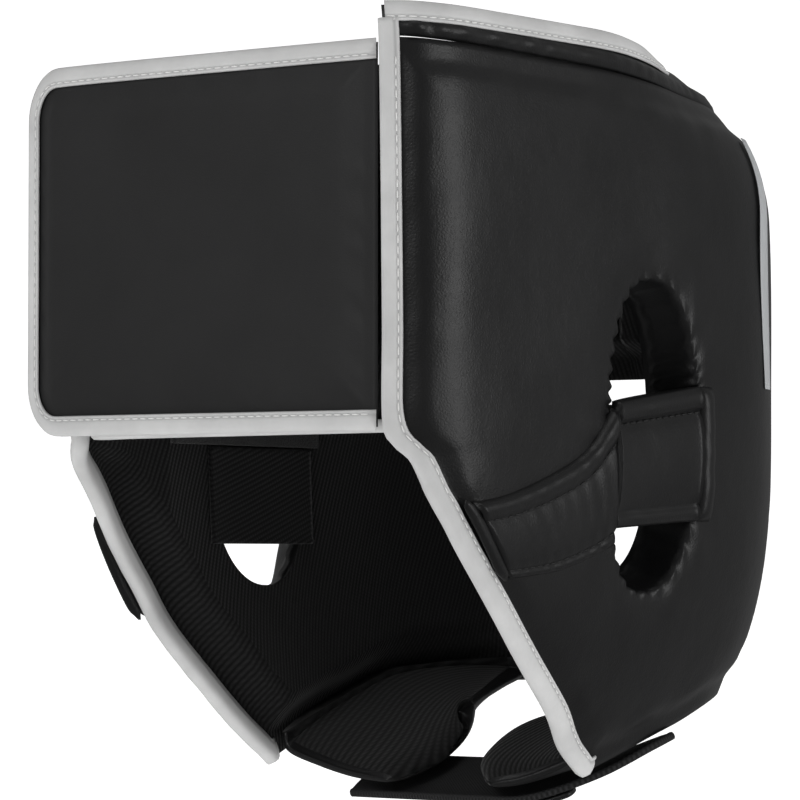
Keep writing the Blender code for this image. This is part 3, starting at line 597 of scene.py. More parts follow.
def leather_lift(side, along, height, edge, hole, turn):
    """Height of the leather over the skin, from its distance to the edge and to the hole."""
    lift = -EDGE_SET_IN * (1 - smooth((edge - TAPE_WIDTH) / SLOPE_WIDTH))
    swell = smooth((edge - LAND_WIDTH) / (18 * MM)) * smooth(hole / (18 * MM))
    lift = lift + swell * 0.7 * MM
    lift = lift + swell * 0.55 * MM * waves(along / (22 * MM) + 1.7 * height / (30 * MM), 5)
    rim = 1 - smooth(hole / RIM_WIDE[side])
    lift = lift - RIM_DIP * rim - 1.2 * MM * (1 - smooth(hole / (9 * MM)))
    pleat = np.exp(-((hole - 1.8 * MM) / (2.2 * MM)) ** 2)
    lift = lift + pleat * 1.1 * MM * np.sin(PLEATS * turn + 1.3 * np.sin(5 * turn))
    pull = np.exp(-((hole - 9 * MM) / (9 * MM)) ** 2) * smooth(edge / (14 * MM))
    lift = lift + pull * 0.25 * MM * np.sin(13 * turn + 2 * np.sin(3 * turn))
    near_tape = np.exp(-((edge - 11 * MM) / (5 * MM)) ** 2)
    return lift + near_tape * 0.22 * MM * waves((along + height) / (5 * MM), 9)


def panel_rings(side):
    """Places of the rings from the hole to the edge, with their distances to both."""
    outline = panel_outline(side)
    centre = ear_centre(side)
    inner_edge = towards(outline, centre, EDGE_RINGS[-1] * MM)
    hole_edge = centre + ear_edge(inner_edge - centre)
    outer_hole = centre + ear_edge(inner_edge - centre, HOLE_GROW[side] + HOLE_RINGS[0] * MM)
    apart = np.linalg.norm(inner_edge - outer_hole, axis=1)
    rings = []
    for out in reversed(HOLE_RINGS):
        ring = centre + ear_edge(inner_edge - centre, HOLE_GROW[side] + out * MM)
        rings.append((ring, apart + EDGE_RINGS[-1] * MM, np.full(len(ring), out * MM)))
    for share in np.linspace(0, 1, MIDDLE_RINGS + 2)[1:-1]:
        ring = outer_hole * (1 - share) + inner_edge * share
        rings.append((ring, EDGE_RINGS[-1] * MM + apart * (1 - share), HOLE_RINGS[0] * MM + apart * share))
    for inset in reversed(EDGE_RINGS):
        ring = towards(outline, centre, inset * MM)
        rings.append((ring, np.full(len(ring), inset * MM), HOLE_RINGS[0] * MM + apart))
    return rings, np.arctan2(hole_edge[:, 1] - centre[1], hole_edge[:, 0] - centre[0])


def side_panel(side):
    rings, turn = panel_rings(side)
    outer, inner, lay = [], [], []
    for ring, edge, hole in rings:
        along, height = ring[:, 0], ring[:, 1]
        outer.append(on_skin(side, along, height, leather_lift(side, along, height, edge, hole, turn)))
        swell = smooth((edge - LAND_WIDTH) / SLOPE_WIDTH)
        depth = padded_depth(side, along, swell)
        soft = 0.5 * MM * waves(along / (16 * MM) - height / (21 * MM), 21) * swell
        inner.append(on_skin(side, along, height, -depth + np.minimum(soft, 0)))
        lay.append(ring)
    loops = outer + inner[::-1]
    grid = sections_of(loops)
    places = sections_of(lay + lay[::-1])
    count = len(rings)
    kinds = [0] * count + [1] * (count - 1) + [0]
    panel = piece_from_grid(f"side_panel_{word(side)}_leather", grid, [SMOOTH_LEATHER, LINING_KNIT], places,
                            ring=True, column_finish=kinds)
    return wear(panel, "smooth_leather", f"side_panel_{word(side)}")


for side in (1, -1):
    side_panel(side)

# %% [markdown]
# The binding is a strip of tape folded over the edge and sewn through. It is a rounded U in
# section, swept round the outline, with a shallow groove where the seam draws it down.

# %% The folded tape's section
def tape_section(low, high):
    """Distance from the edge and lift, round the U, outer face last."""
    out = -GAP - TAPE_THICK
    seam = SEAM_IN
    top, foot = high + GAP, low - GAP
    face = [(TAPE_WIDTH, top + 0.3 * TAPE_THICK), (TAPE_WIDTH - 0.3 * MM, top + 0.9 * TAPE_THICK),
            (seam + 0.6 * MM, top + 0.95 * TAPE_THICK), (seam, top + 0.70 * TAPE_THICK),
            (seam - 0.6 * MM, top + 1.05 * TAPE_THICK), (0.45 * TAPE_WIDTH, top + 1.25 * TAPE_THICK),
            (0.15 * TAPE_WIDTH, top + 1.10 * TAPE_THICK), (0.4 * out, top + 0.75 * TAPE_THICK)]
    fold = [(out * 0.95, top - 0.2 * MM), (out, (top + foot) / 2), (out * 0.95, foot + 0.2 * MM)]
    back = [(0.4 * out, foot - 0.75 * TAPE_THICK), (0.15 * TAPE_WIDTH, foot - TAPE_THICK),
            (0.45 * TAPE_WIDTH, foot - TAPE_THICK), (TAPE_WIDTH - 0.3 * MM, foot - 0.9 * TAPE_THICK),
            (TAPE_WIDTH, foot - 0.3 * TAPE_THICK)]
    inside = [(0.8 * TAPE_WIDTH, foot), (-GAP, foot), (-GAP, top), (0.8 * TAPE_WIDTH, top)]
    return face + fold + back + inside


SKIN_TAPE = tape_section(-EDGE_SET_IN - EDGE_THICK, -EDGE_SET_IN)
SEAM_LIFT = -EDGE_SET_IN + GAP + 0.85 * TAPE_THICK


def tape_lay(count):
    """Inset of each point of the tape's section, so that the finish can find the seam and paint shade along it."""
    return np.tile([(inset, 0) for inset, _ in SKIN_TAPE], (count, 1, 1))


def face_tape(side):
    outline = panel_outline(side)
    centre = ear_centre(side)
    cheek = len(panel_stretches(side)[0])
    first = 0 if side > 0 else int(np.argmax(outline[:, 1] < -BROW_DROP * 0.9))
    front = plan_length(side)
    head, foot = band_top(side, front) - TAPE_WIDTH + MM, seam_height(side, front) - 6 * MM
    upper = np.linspace(head, foot, 7 if side > 0 else 0)
    skip = 4 if side > 0 else first
    loops = []
    for inset, lift in SKIN_TAPE:
        along, height = towards(outline, centre, inset)[skip:cheek + 1].T
        along, height = np.append(front - inset + 0 * upper, along), np.append(upper, height)
        loops.append(on_skin(side, along, height, lift))
    pucker = 0.10 * MM * waves(np.arange(loops[0].shape[0]) * 0.9, 3)
    along = np.append(front + 0 * upper, outline[skip:cheek + 1, 0])
    height = np.append(upper, outline[skip:cheek + 1, 1])
    outward = on_skin(side, along, height, MM) - on_skin(side, along, height, 0)
    for k in range(8):
        loops[k] = loops[k] + outward / MM * pucker[:, None] * (0.4 + 0.1 * k)
    grid = sections_of(loops)
    tape = piece_from_grid(f"face_binding_{word(side)}", grid, [WHITE_TAPE], tape_lay(len(grid)))
    wear(tape, "white_tape", f"face_tape_{word(side)}")
    seam = towards(outline, centre, SEAM_IN)[first + 1:cheek - 1]
    sewn_on_skin(f"face_seam_{word(side)}", side, seam[:, 0], seam[:, 1], SEAM_LIFT, WHITE_THREAD, "white_tape")


def top_tape(side):
    along = np.arange(along_at(side, 0.42 * BACK_REACH), plan_length(side) + TAPE_THICK, PITCH)
    head = band_top(side, along)
    loops = [on_skin(side, along, head - d, lift) for d, lift in SKIN_TAPE]
    tape = piece_from_grid(f"top_binding_{word(side)}", sections_of(loops), [WHITE_TAPE],
                           tape_lay(len(along)))
    wear(tape, "white_tape", f"top_tape_{word(side)}")
    sewn_on_skin(f"top_seam_{word(side)}", side, along, head - SEAM_IN, SEAM_LIFT, WHITE_THREAD, "white_tape")


for side in (1, -1):
    face_tape(side)
    top_tape(side)

# %% [markdown]
# The band above each panel is drawn up tighter than the panel, so its leather gathers, most of
# all near the front corner. Small waves along the band that fade at both seams show this.

# %% Top bands
def top_band(side):
    along = np.arange(GAP, plan_length(side) + PITCH / 4, PITCH / 2)
    foot, head = seam_height(side, along) + 2 * GAP, band_top(side, along)
    tight = 0.25 + 0.75 * smooth((along - plan_length(side) + 90 * MM) / (70 * MM))
    ripple = waves(along / (2.4 * MM), 12) * tight
    steps = np.array([0, 0.06, 0.15, 0.28, 0.42, 0.56, 0.72, 0.86, 1.0])
    outer = []
    for share in steps:
        puff = math.sin(math.pi * min(1, share / 0.55)) if share < 0.55 else 0
        lift = -EDGE_SET_IN + (1.4 * MM + 0.8 * MM * ripple) * puff
        outer.append(on_skin(side, along, foot + (head - foot) * share, lift))
    inner = [on_skin(side, along, foot + (head - foot) * share, -EDGE_SET_IN - EDGE_THICK) for share in (1.0, 0.5, 0.0)]
    lay = [np.column_stack([along, np.full(len(along), share * BAND_HEIGHT)]) for share in list(steps) + [1.0, 0.5, 0]]
    grid = sections_of(outer + inner)
    kinds = [0] * 9 + [1, 1, 0]
    band = piece_from_grid(f"gathered_band_{word(side)}", grid, [SMOOTH_LEATHER, LINING_KNIT],
                           sections_of(lay), column_finish=kinds)
    wear(band, "smooth_leather", f"top_band_{word(side)}")


for side in (1, -1):
    top_band(side)

# %% [markdown]
# The forehead pad is a thick slab of foam in matte leather, bound on its three free edges. Its
# left end is sewn in under the face tape, and its free right end has round corners.

# %% Forehead pad
PAD_THICK, PAD_RISE, PAD_DROP, PAD_LIFT = 20 * MM, 10 * MM, 114.5 * MM, 1 * MM
PAD_CORNER, PAD_MITRE, PAD_LINING = 16.5 * MM, 0.8, 2 * MM
BASE_THICK, BASE_BELOW, BASE_DIP, BROW_UP = 9 * MM, 4 * MM, 1.5 * MM, 3 * MM
PAD_SEWN = 54
PAD_PLAN = (
    # side share of half the width, depth share of the front reach, left end first
    (0.792, -0.998), (0.300, -1.005), (-0.300, -1.008), (-0.620, -0.998), (-0.810, -0.963),
)
BASE_PLAN = ((0.738, -0.800), (0.300, -0.806), (-0.300, -0.806), (-0.600, -0.790), (-0.752, -0.745))


def front_plan(rows):
    curve = curve_through([(side * HEAD_WIDTH / 2, depth * FRONT_REACH) for side, depth in rows], 400)
    return curve, run_along(curve)


PAD_CURVE, BASE_CURVE = front_plan(PAD_PLAN), front_plan(BASE_PLAN)
PAD_LENGTH, BASE_LENGTH = PAD_CURVE[1][-1], BASE_CURVE[1][-1]


def on_front(plan, across, height, lift):
    curve, run = plan
    across, height, lift = np.broadcast_arrays(np.asarray(across, float), height, lift)
    step = 2 * MM

    def at(place):
        return sample(curve, run, place)

    heading = at(np.minimum(across + step, run[-1])) - at(np.maximum(across - step, 0))
    heading /= np.linalg.norm(heading, axis=-1)[..., None]
    normal = np.stack([heading[..., 1], -heading[..., 0]], axis=-1)
    normal = np.where(normal[..., 1:] > 0, -normal, normal)
    flat = at(across) + heading * (np.maximum(across - run[-1], 0) + np.minimum(across, 0))[..., None]
    flat = flat + normal * lift[..., None]
    return np.concatenate([flat, height[..., None]], axis=-1)


def pad_place(across, height, lift):
    mitre = PAD_MITRE * lift * np.maximum(0, 1 - across / (0.1 * PAD_LENGTH))
    return on_front(PAD_CURVE, across - mitre, height + PAD_LIFT * across / PAD_LENGTH, lift)


def pad_loop(inset):
    """Even points round the pad at an inset: square left corners, round right ones."""
    low, high = -PAD_DROP + inset, PAD_RISE - inset
    left, right = inset, PAD_LENGTH - inset
    radius = max(PAD_CORNER - inset, 2 * MM)
    loop = [np.array([(x, high) for x in np.linspace(left, right - radius, 70)])]
    for start, middle in ((90, high - radius), (0, low + radius)):
        turn = np.radians(np.linspace(start, start - 90, 14))[1:]
        loop.append(np.column_stack([right - radius + radius * np.cos(turn), middle + radius * np.sin(turn)]))
        if start:
            loop.append(np.array([(right, y) for y in np.linspace(high - radius, low + radius, 50)[1:]]))
    loop.append(np.array([(x, low) for x in np.linspace(right - radius, left, 70)[1:]]))
    loop.append(np.array([(left, y) for y in np.linspace(low, high, PAD_SEWN + 2)[1:-1]]))
    return np.vstack(loop)


def pad_face_lift(loop, inset):
    across, height = loop[:, 0] / PAD_LENGTH, (loop[:, 1] + PAD_DROP) / (PAD_DROP + PAD_RISE)
    edge = -EDGE_SET_IN * (1 - smooth((inset - TAPE_WIDTH) / (11 * MM)))
    crown = 0.9 * MM * smooth(inset / (40 * MM))
    soft = 0.35 * MM * waves(9 * across + 5 * height, 31) * smooth((inset - LAND_WIDTH) / (12 * MM))
    pucker = 0.22 * MM * waves(60 * (across - height), 8) * np.exp(-((inset - 9.5 * MM) / (3 * MM)) ** 2)
    return edge + crown + soft + pucker


def forehead_pad():
    insets = [0, 2.5, 4.2, 5.5, 6.5, 7.5, 9, 12, 14, 17, 21, 26, 32, 39, 46, 52, 56, 58]
    outer = [pad_place(*pad_loop(k * MM).T, pad_face_lift(pad_loop(k * MM), k * MM)) for k in reversed(insets)]
    inner = []
    for k in insets:
        full = smooth((k * MM - TAPE_WIDTH) / (10 * MM))
        low = -EDGE_SET_IN - EDGE_THICK
        inner.append(pad_place(*pad_loop(k * MM).T, low + (-PAD_THICK + PAD_LINING - low) * full))
    pad = piece_from_grid("forehead_pad_leather", outer + inner, [MATTE_LEATHER])
    wear(pad, "matte_leather", "forehead_pad")
    loops = []
    for inset, lift in SKIN_TAPE:
        loop = pad_loop(max(inset, -1.5 * MM))[:-PAD_SEWN]
        loop[[0, -1], 0] = 0
        loops.append(pad_place(np.maximum(loop[:, 0], 2 * GAP), loop[:, 1], lift))
    tape = piece_from_grid("forehead_pad_binding", sections_of(loops), [WHITE_TAPE],
                           tape_lay(len(loops[0])))
    wear(tape, "white_tape", "forehead_pad_tape")
    seam = pad_loop(SEAM_IN)[:-PAD_SEWN]
    here, above = pad_place(*seam.T, SEAM_LIFT), pad_place(*seam.T, SEAM_LIFT + MM)
    stitches("forehead_pad_seam", here, (above - here) / MM, WHITE_THREAD, "white_tape")


forehead_pad()

# %% [markdown]
# Behind the pad a thinner knit panel joins the two sides; only its taped lower edge shows.

# %% Forehead base and brow tape
def forehead_base():
    foot, head = -BROW_DROP + BROW_UP, PAD_RISE - BASE_BELOW
    across = np.linspace(0, BASE_LENGTH, 70)
    shares = np.array([0, 0.02, 0.05, 0.09, 0.14, 0.25, 0.4, 0.55, 0.7, 0.82, 0.92, 0.97, 1.0])
    dips = BASE_DIP * (1 - smooth((shares - 0.05) / 0.08) * smooth((1 - shares) / 0.10))
    soft = 0.3 * MM * waves(across / (14 * MM), 17)
    outer = [on_front(BASE_CURVE, across, foot + s * (head - foot), -dip) for s, dip in zip(shares, dips)]
    inner = [on_front(BASE_CURVE, across, foot + s * (head - foot), dip - BASE_THICK + soft)
             for s, dip in zip(shares[::-1], dips[::-1])]
    lay = [np.column_stack([across, np.full(len(across), s * (head - foot))])
           for s in np.append(shares, shares[::-1])]
    base = piece_from_grid("forehead_base_knit", sections_of(outer + inner), [LINING_KNIT],
                           sections_of(lay))
    wear(base, "lining_knit", "forehead_base")
    across = np.linspace(2 * BASE_DIP, BASE_LENGTH - 2 * BASE_DIP, 80)
    section = tape_section(-BASE_THICK + BASE_DIP, -BASE_DIP)
    loops = [on_front(BASE_CURVE, across, foot + min(d, 0.5 * TAPE_WIDTH), lift) for d, lift in section]
    tape = piece_from_grid("brow_binding", sections_of(loops), [WHITE_TAPE])
    wear(tape, "white_tape", "brow_tape")


forehead_base()

# %% [markdown]
# A flat strap runs from a folded end on the cheek to the ear hole. Its upper edge is a padded
# rib, and two sewn lines hold it to the panel.

# %% Ear straps
EAR_STRAP = {
    # y at head, y at foot as shares of the front reach; head, foot as shares of the fall below the brow
    1: ((-0.755, -0.560, -0.190, -0.405), (-0.590, -0.450, -0.160, -0.398), (-0.385, -0.330, -0.100, -0.385),
        (-0.215, -0.185, -0.025, -0.350), (-0.085, -0.075, 0.095, -0.315)),
    -1: ((-0.450, -0.285, -0.226, -0.530), (-0.370, -0.235, -0.180, -0.480), (-0.270, -0.185, -0.110, -0.420),
         (-0.175, -0.130, -0.020, -0.365), (-0.085, -0.075, 0.095, -0.315)),
}
STRAP_THICK, STRAP_BED, TAB_WIDTH, TAB_THICK = 3 * MM, -0.6 * MM, 6 * MM, 2.6 * MM
STRAP_PROFILE = (
    # share up the strap's width, thickness in strap thicknesses
    (0.0, 0.25), (0.015, 0.6), (0.04, 0.85), (0.08, 0.80), (0.11, 0.62), (0.14, 0.88), (0.25, 1.02), (0.40, 1.08),
    (0.55, 1.02), (0.66, 0.94), (0.72, 0.78), (0.75, 0.66), (0.78, 0.92), (0.82, 1.18), (0.87, 1.36), (0.92, 1.34),
    (0.96, 1.12), (0.985, 0.7), (1.0, 0.2),
)


def strap_ends(side, row):
    fall = JAW_DROP - BROW_DROP
    y_head, y_foot, head, foot = row
    return (np.array([along_at(side, y_foot * FRONT_REACH), -BROW_DROP + foot * fall]),
            np.array([along_at(side, y_head * FRONT_REACH), -BROW_DROP + head * fall]))


def ear_strap(side):
    rows = curve_through(EAR_STRAP[side], 46)
    sections, lay, seams = [], [], {0.11: [], 0.75: []}
    for k, row in enumerate(rows):
        low, high = strap_ends(side, row)
        shares = np.array([share for share, _ in STRAP_PROFILE])
        tall = np.array([tall for _, tall in STRAP_PROFILE])
        ripple = 0.12 * MM * waves(k * 0.9 + shares * 4, 14)
        places = low + (high - low) * shares[:, None]
        outer = on_skin(side, *places.T, STRAP_BED + STRAP_THICK * tall + ripple)
        under = low + (high - low) * np.array([1.0, 0.66, 0.33, 0.0])[:, None]
        inner = on_skin(side, *under.T, STRAP_BED)
        sections.append(np.vstack([outer, inner]))
        lay.append(np.vstack([places, under]))
        for share in seams:
            seams[share].append(low + (high - low) * share)
    strap = piece_from_grid(f"ear_strap_{word(side)}_leather", sections, [SMOOTH_LEATHER], lay)
    wear(strap, "smooth_leather", f"ear_strap_{word(side)}")
    for share, tall in ((0.11, 0.66), (0.75, 0.70)):
        line = np.array(seams[share])
        sewn_on_skin(f"ear_strap_{word(side)}_seam_{int(share * 100)}", side, line[:, 0], line[:, 1],
                     STRAP_BED + STRAP_THICK * tall, BLACK_THREAD, "smooth_leather")


def ear_tab(side):
    low, high = strap_ends(side, EAR_STRAP[side][0])
    sections = []
    for share in np.linspace(-0.03, 1.03, 26):
        at = low + (high - low) * share
        round_off = math.sqrt(max(0.05, 1 - abs(2 * share - 1) ** 12))
        turn = np.radians(np.linspace(-80, 260, 16))
        middle = (TAB_WIDTH + 2 * GAP) / 2
        shift = middle + TAB_WIDTH / 2 * np.cos(turn) * round_off
        lift = STRAP_BED + 0.6 * TAB_THICK * (1 + np.sin(turn) * round_off)
        sections.append(on_skin(side, at[0] + shift, np.full(16, at[1]), lift))
    tab = piece_from_grid(f"ear_strap_{word(side)}_fold", sections, [SMOOTH_LEATHER])
    wear(tab, "smooth_leather", f"ear_tab_{word(side)}")


for side in (1, -1):
    ear_strap(side)
    ear_tab(side)

# %% [markdown]
# The bar across the ear hole is a padded field between a rolled top flap and a rolled bottom
# lip, sunk a little into the hole. Behind the hole an upright fold holds its sewn end.

# %% Ear bridges and their folds
BRIDGE_HEIGHT, BRIDGE_DROP, ANCHOR_WIDTH = 45 * MM, 8 * MM, 9 * MM
BRIDGE_BULGE, BRIDGE_DIP, BRIDGE_BACK, BRIDGE_SEAM = 1.5 * MM, 2.4 * MM, 6 * MM, 2.1 * MM
BRIDGE_PROFILE = (
    # share up the bridge, height over its back in mm
    (0.0, 1.6), (0.02, 2.8), (0.06, 3.7), (0.10, 3.3), (0.125, 2.2), (0.15, 3.0), (0.22, 4.0), (0.35, 4.8), (0.50, 5.1),
    (0.65, 4.7), (0.76, 3.7), (0.80, 2.5), (0.825, 2.4), (0.84, 4.0), (0.87, 5.0), (0.92, 5.3), (0.96, 4.6),
    (0.99, 3.4), (1.0, 2.2),
)


def bridge_ends(side):
    centre, half = ear_centre(side), EAR_WIDTH / 2 + HOLE_GROW[side]
    return centre[0] + half + MM, centre[0] - half - 1.5 * MM


def bridge_heights(side, along):
    centre = ear_centre(side)
    middle = centre[1] - BRIDGE_DROP + (centre[0] - along) * 0.10
    half = BRIDGE_HEIGHT / 2 + (centre[0] - along) * 0.04
    return middle - half, middle + half


def ear_bridge(side):
    start, end = bridge_ends(side)
    shares = np.array([share for share, _ in BRIDGE_PROFILE])
    tall = np.array([tall for _, tall in BRIDGE_PROFILE]) * MM
    sections, lay, seam = [], [], []
    for across in np.linspace(0, 1, 40):
        along = start + (end - start) * across
        foot, head = bridge_heights(side, along)
        sink = math.sin(math.pi * across) ** 0.5
        bulge = BRIDGE_BULGE * math.sin(math.pi * across) - BRIDGE_DIP * sink
        wrinkle = 0.16 * MM * waves(across * 12 + shares * 3, 4)
        lift = STRAP_BED + 0.8 * tall + bulge + wrinkle * math.sin(math.pi * across)
        outer = on_skin(side, np.full(len(shares), along), foot + (head - foot) * shares, lift)
        under = foot + (head - foot) * np.array([1.0, 0.5, 0.0])
        inner = on_skin(side, np.full(3, along), under, STRAP_BED - BRIDGE_BACK * sink)
        sections.append(np.vstack([outer, inner]))
        heights = foot + (head - foot) * np.append(shares, [1, 0.5, 0])
        lay.append(np.column_stack([np.full(len(heights), along), heights]))
        seam.append((along, foot + (head - foot) * 0.81, STRAP_BED + BRIDGE_SEAM + bulge))
    bridge = piece_from_grid(f"ear_bridge_{word(side)}_leather", sections, [SMOOTH_LEATHER], lay)
    wear(bridge, "smooth_leather", f"ear_bridge_{word(side)}")
    seam = np.array(seam)
    sewn_on_skin(f"ear_bridge_{word(side)}_seam", side, seam[:, 0], seam[:, 1], seam[:, 2], BLACK_THREAD,
                 "smooth_leather")


def ear_anchor(side):
    end = bridge_ends(side)[1] - GAP
    foot, head = bridge_heights(side, end)
    sections = []
    for share in np.linspace(0, 1, 30):
        close = math.sqrt(max(0.06, 1 - abs(2 * share - 1) ** 8))
        turn = np.radians(np.linspace(0, 180, 12))
        shift = ANCHOR_WIDTH / 2 - ANCHOR_WIDTH / 2 * np.cos(turn)
        lift = 3.4 * MM * np.sin(turn) ** 0.8 * close + 0.15 * MM * waves(share * 20, 6)
        sections.append(on_skin(side, end - shift, np.full(12, foot + (head - foot) * share), lift))
    fold = piece_from_grid(f"ear_fold_{word(side)}", sections, [SMOOTH_LEATHER])
    wear(fold, "smooth_leather", f"ear_anchor_{word(side)}")


for side in (1, -1):
    ear_bridge(side)
    ear_anchor(side)

# %% [markdown]
# Inside, a strip of hook-and-loop tape lies on the lining, and a knit backing hangs below it
# over the upper part of each ear hole.

# %% Inner strips
STRIP_HEIGHT, STRIP_LENGTH, STRIP_THICK = 12 * MM, 86 * MM, 1.4 * MM
BACKING_FOOT = {1: -146 * MM, -1: -154 * MM}
BACKING_THICK, BACKING_PAST_HOLE = 1.6 * MM, 7 * MM


def inner_strip(side):
    middle = along_at(side, 0.06 * FRONT_REACH)
    along = np.linspace(middle - STRIP_LENGTH / 2, middle + STRIP_LENGTH / 2, 44)
    foot = -BROW_DROP + 1.5 * MM
    lift = -PANEL_THICK - LAY
    edge = [(0, 0), (1, 0), (1, 1), (0.96, 1.3), (0.5, 1.4), (0.04, 1.3), (0, 1)]
    loops = [on_skin(side, along, foot + STRIP_HEIGHT * share, lift - STRIP_THICK * deep) for share, deep in edge]
    strip = piece_from_grid(f"hook_strip_{word(side)}", sections_of(loops), [HOOK_AND_LOOP])
    wear(strip, "hook_and_loop", f"inner_strip_{word(side)}")


def ear_flap_lining(side):
    """Knit backing of the ear bridge, ribs another way than the lining's."""
    middle = float(along_at(side, EAR_BACK_OF_SEAT))
    half, foot, head = 0.5 * EAR_WIDTH + BACKING_PAST_HOLE, BACKING_FOOT[side], -BROW_DROP + MM
    along = np.linspace(middle - half, middle + half, 40)
    lift = -PANEL_THICK - GAP
    loops, lay = [], []
    for share, deep in ((0, 0), (1, 0), (1, 0.6), (0.97, 1), (0.93, 0.8), (0.5, 1.0), (0.08, 0.8), (0.03, 1), (0, 0.6)):
        height = foot + (head - foot) * share + 0 * along
        loops.append(on_skin(side, along, height, lift - BACKING_THICK * deep))
        lay.append(np.column_stack([height, along]))
    flap = piece_from_grid(f"ear_flap_lining_{word(side)}", sections_of(loops), [LINING_KNIT],
                           sections_of(lay))
    wear(flap, "lining_knit")


for side in (1, -1):
    inner_strip(side)
    ear_flap_lining(side)

# %% [markdown]
# At the back a padded panel fills the top between the sides, and a closure strap draws the
# nape together under the wedge gap.

# %% Rear panel and closure
CLOSURE_HALF, CLOSURE_HEIGHT, CLOSURE_THICK = 48 * MM, 30 * MM, 3 * MM
REAR_ROWS, REAR_SLIMMER = 48, 10 * MM


def round_rear(run, height, lift):
    """A point near the rear middle: run counts from there, to the left if positive."""
    run, height, lift = np.broadcast_arrays(np.asarray(run, float), height, lift)
    left, right = on_skin(1, np.abs(run), height, lift), on_skin(-1, np.abs(run), height, lift)
    return np.where((run >= 0)[..., None], left, right)


def rear_panel():
    reach = BACK_GAP_HALF - GAP
    run = np.linspace(-reach, reach, 34)
    foot = -BACK_GAP_TOP
    head = np.where(run >= 0, seam_height(1, np.abs(run)), seam_height(-1, np.abs(run)))
    outer, inner, lay = [], [], []
    for share in np.linspace(0, 1, REAR_ROWS):
        height = foot + (head - foot) * share
        edge = np.minimum(reach - np.abs(run), np.minimum(height - foot, head - height))
        full = smooth((edge - 3 * MM) / (11 * MM))
        outer.append(round_rear(run, height, -EDGE_SET_IN * (1 - full)))
        full_in = smooth((edge - LAND_WIDTH) / SLOPE_WIDTH)
        inner.append(round_rear(run, height, -EDGE_SET_IN - EDGE_THICK - (PANEL_THICK - REAR_SLIMMER) * full_in))
        lay.append(np.column_stack([run, height]))
    loops = outer + inner[::-1]
    kinds = [0] * REAR_ROWS + [1] * (REAR_ROWS - 1) + [0]
    panel = piece_from_grid("rear_panel_leather", sections_of(loops), [SMOOTH_LEATHER, LINING_KNIT],
                            sections_of(lay + lay[::-1]), column_finish=kinds)
    wear(panel, "smooth_leather", "rear_panel")


def rear_closure():
    head = -BACK_GAP_FOOT - MM
    middle, half = head - CLOSURE_HEIGHT / 2, CLOSURE_HEIGHT / 2
    run = np.linspace(-CLOSURE_HALF, CLOSURE_HALF, 60)
    taper = 1 - 0.12 * (run / CLOSURE_HALF) ** 4
    edge = [(-1, 0), (1, 0), (1, 0.6), (0.97, 1), (0.85, 0.9), (0.5, 1), (-0.5, 1), (-0.85, 0.9), (-0.97, 1), (-1, 0.6)]
    loops = [round_rear(run, middle + half * taper * up, LAY + CLOSURE_THICK * out) for up, out in edge]
    lay = [np.column_stack([run, middle + half * taper * up]) for up, _ in edge]
    strap = piece_from_grid("rear_closure_strap", sections_of(loops), [SMOOTH_LEATHER],
                            sections_of(lay))
    wear(strap, "webbing", "rear_closure")
    for name, up in (("upper", 0.85), ("lower", -0.85)):
        here = round_rear(run, middle + half * taper * up, LAY + 0.95 * CLOSURE_THICK)
        above = round_rear(run, middle + half * taper * up, LAY + 2 * CLOSURE_THICK)
        stitches(f"rear_closure_{name}_seam", here, (above - here) / (1.05 * CLOSURE_THICK), BLACK_THREAD, "webbing")


rear_panel()
rear_closure()

# %% [markdown]
# Over the crown lies a plain padded bridge, knit below where it touches the head.

# %% Crown pad
CROWN_WIDTH, CROWN_THICK, CROWN_SAG = 76 * MM, 10 * MM, 11 * MM


def crown_pad():
    left = on_skin(1, float(along_at(1, CROWN_WIDTH / 2)), -CROWN_SAG / 2, -PANEL_THICK - LAY)[0]
    half = CROWN_WIDTH / 2
    turn = np.radians(np.linspace(0, 360, 48, endpoint=False))
    sections, lay = [], []
    for share in np.linspace(-1, 1, 60):
        seat = -CROWN_SAG * share ** 2
        wide = np.sign(np.cos(turn)) * np.abs(np.cos(turn)) ** 0.35
        tall = np.sign(np.sin(turn)) * np.abs(np.sin(turn)) ** 0.55
        quilt = 0.4 * MM * np.maximum(tall, 0) * waves(share * 9 + wide * 3, 41)
        sections.append(np.column_stack([np.full(48, share * left), half * wide,
                                         seat + CROWN_THICK / 2 * (1 + tall) - np.abs(quilt)]))
        lay.append(np.column_stack([np.full(48, share * left), half * wide]))
    pad = piece_from_grid("crown_pad_knit", sections, [LINING_KNIT], lay)
    wear(pad, "lining_knit", "crown_pad")


crown_pad()

# %% [markdown]
# Under the chin two padded flaps come in from the sides, knit where they touch the chin and
# rimmed with leather, and the strap runs under both. Their middle surfaces are the solids'.

# %% Chin flaps
FLAP_WIDTH, FLAP_THICK, FLAP_TILT = 42 * MM, 9 * MM, 0.55
FLAP_END = {1: 20 * MM, -1: -2 * MM}
FLAP_SET_BACK, FLAP_ROOT_FRONT = 29 * MM, 17 * MM
FLAP_ROOT_REAR = {1: 92 * MM, -1: 144 * MM}
FLAP_LAP, FLAP_RISE, FLAP_SAG, FLAP_ROUND = 6 * MM, 7 * MM, 2 * MM, 14 * MM
FLAP_ROWS, FLAP_COLUMNS, FLAP_RIM = 50, 30, 3


def edge_height(side, along):
    lower = panel_stretches(side)[1][::-1]
    return np.interp(along, lower[:, 0], lower[:, 1])


def sheet_sides(grid, half):
    ahead, across = np.gradient(grid, axis=(0, 1))
    normal = np.cross(ahead, across)
    normal /= np.linalg.norm(normal, axis=2)[:, :, None]
    upper, lower = grid + normal * half[:, :, None], grid - normal * half[:, :, None]
    if upper[len(grid) // 2, grid.shape[1] // 2, 2] < lower[len(grid) // 2, grid.shape[1] // 2, 2]:
        upper, lower = lower, upper
    return upper, lower


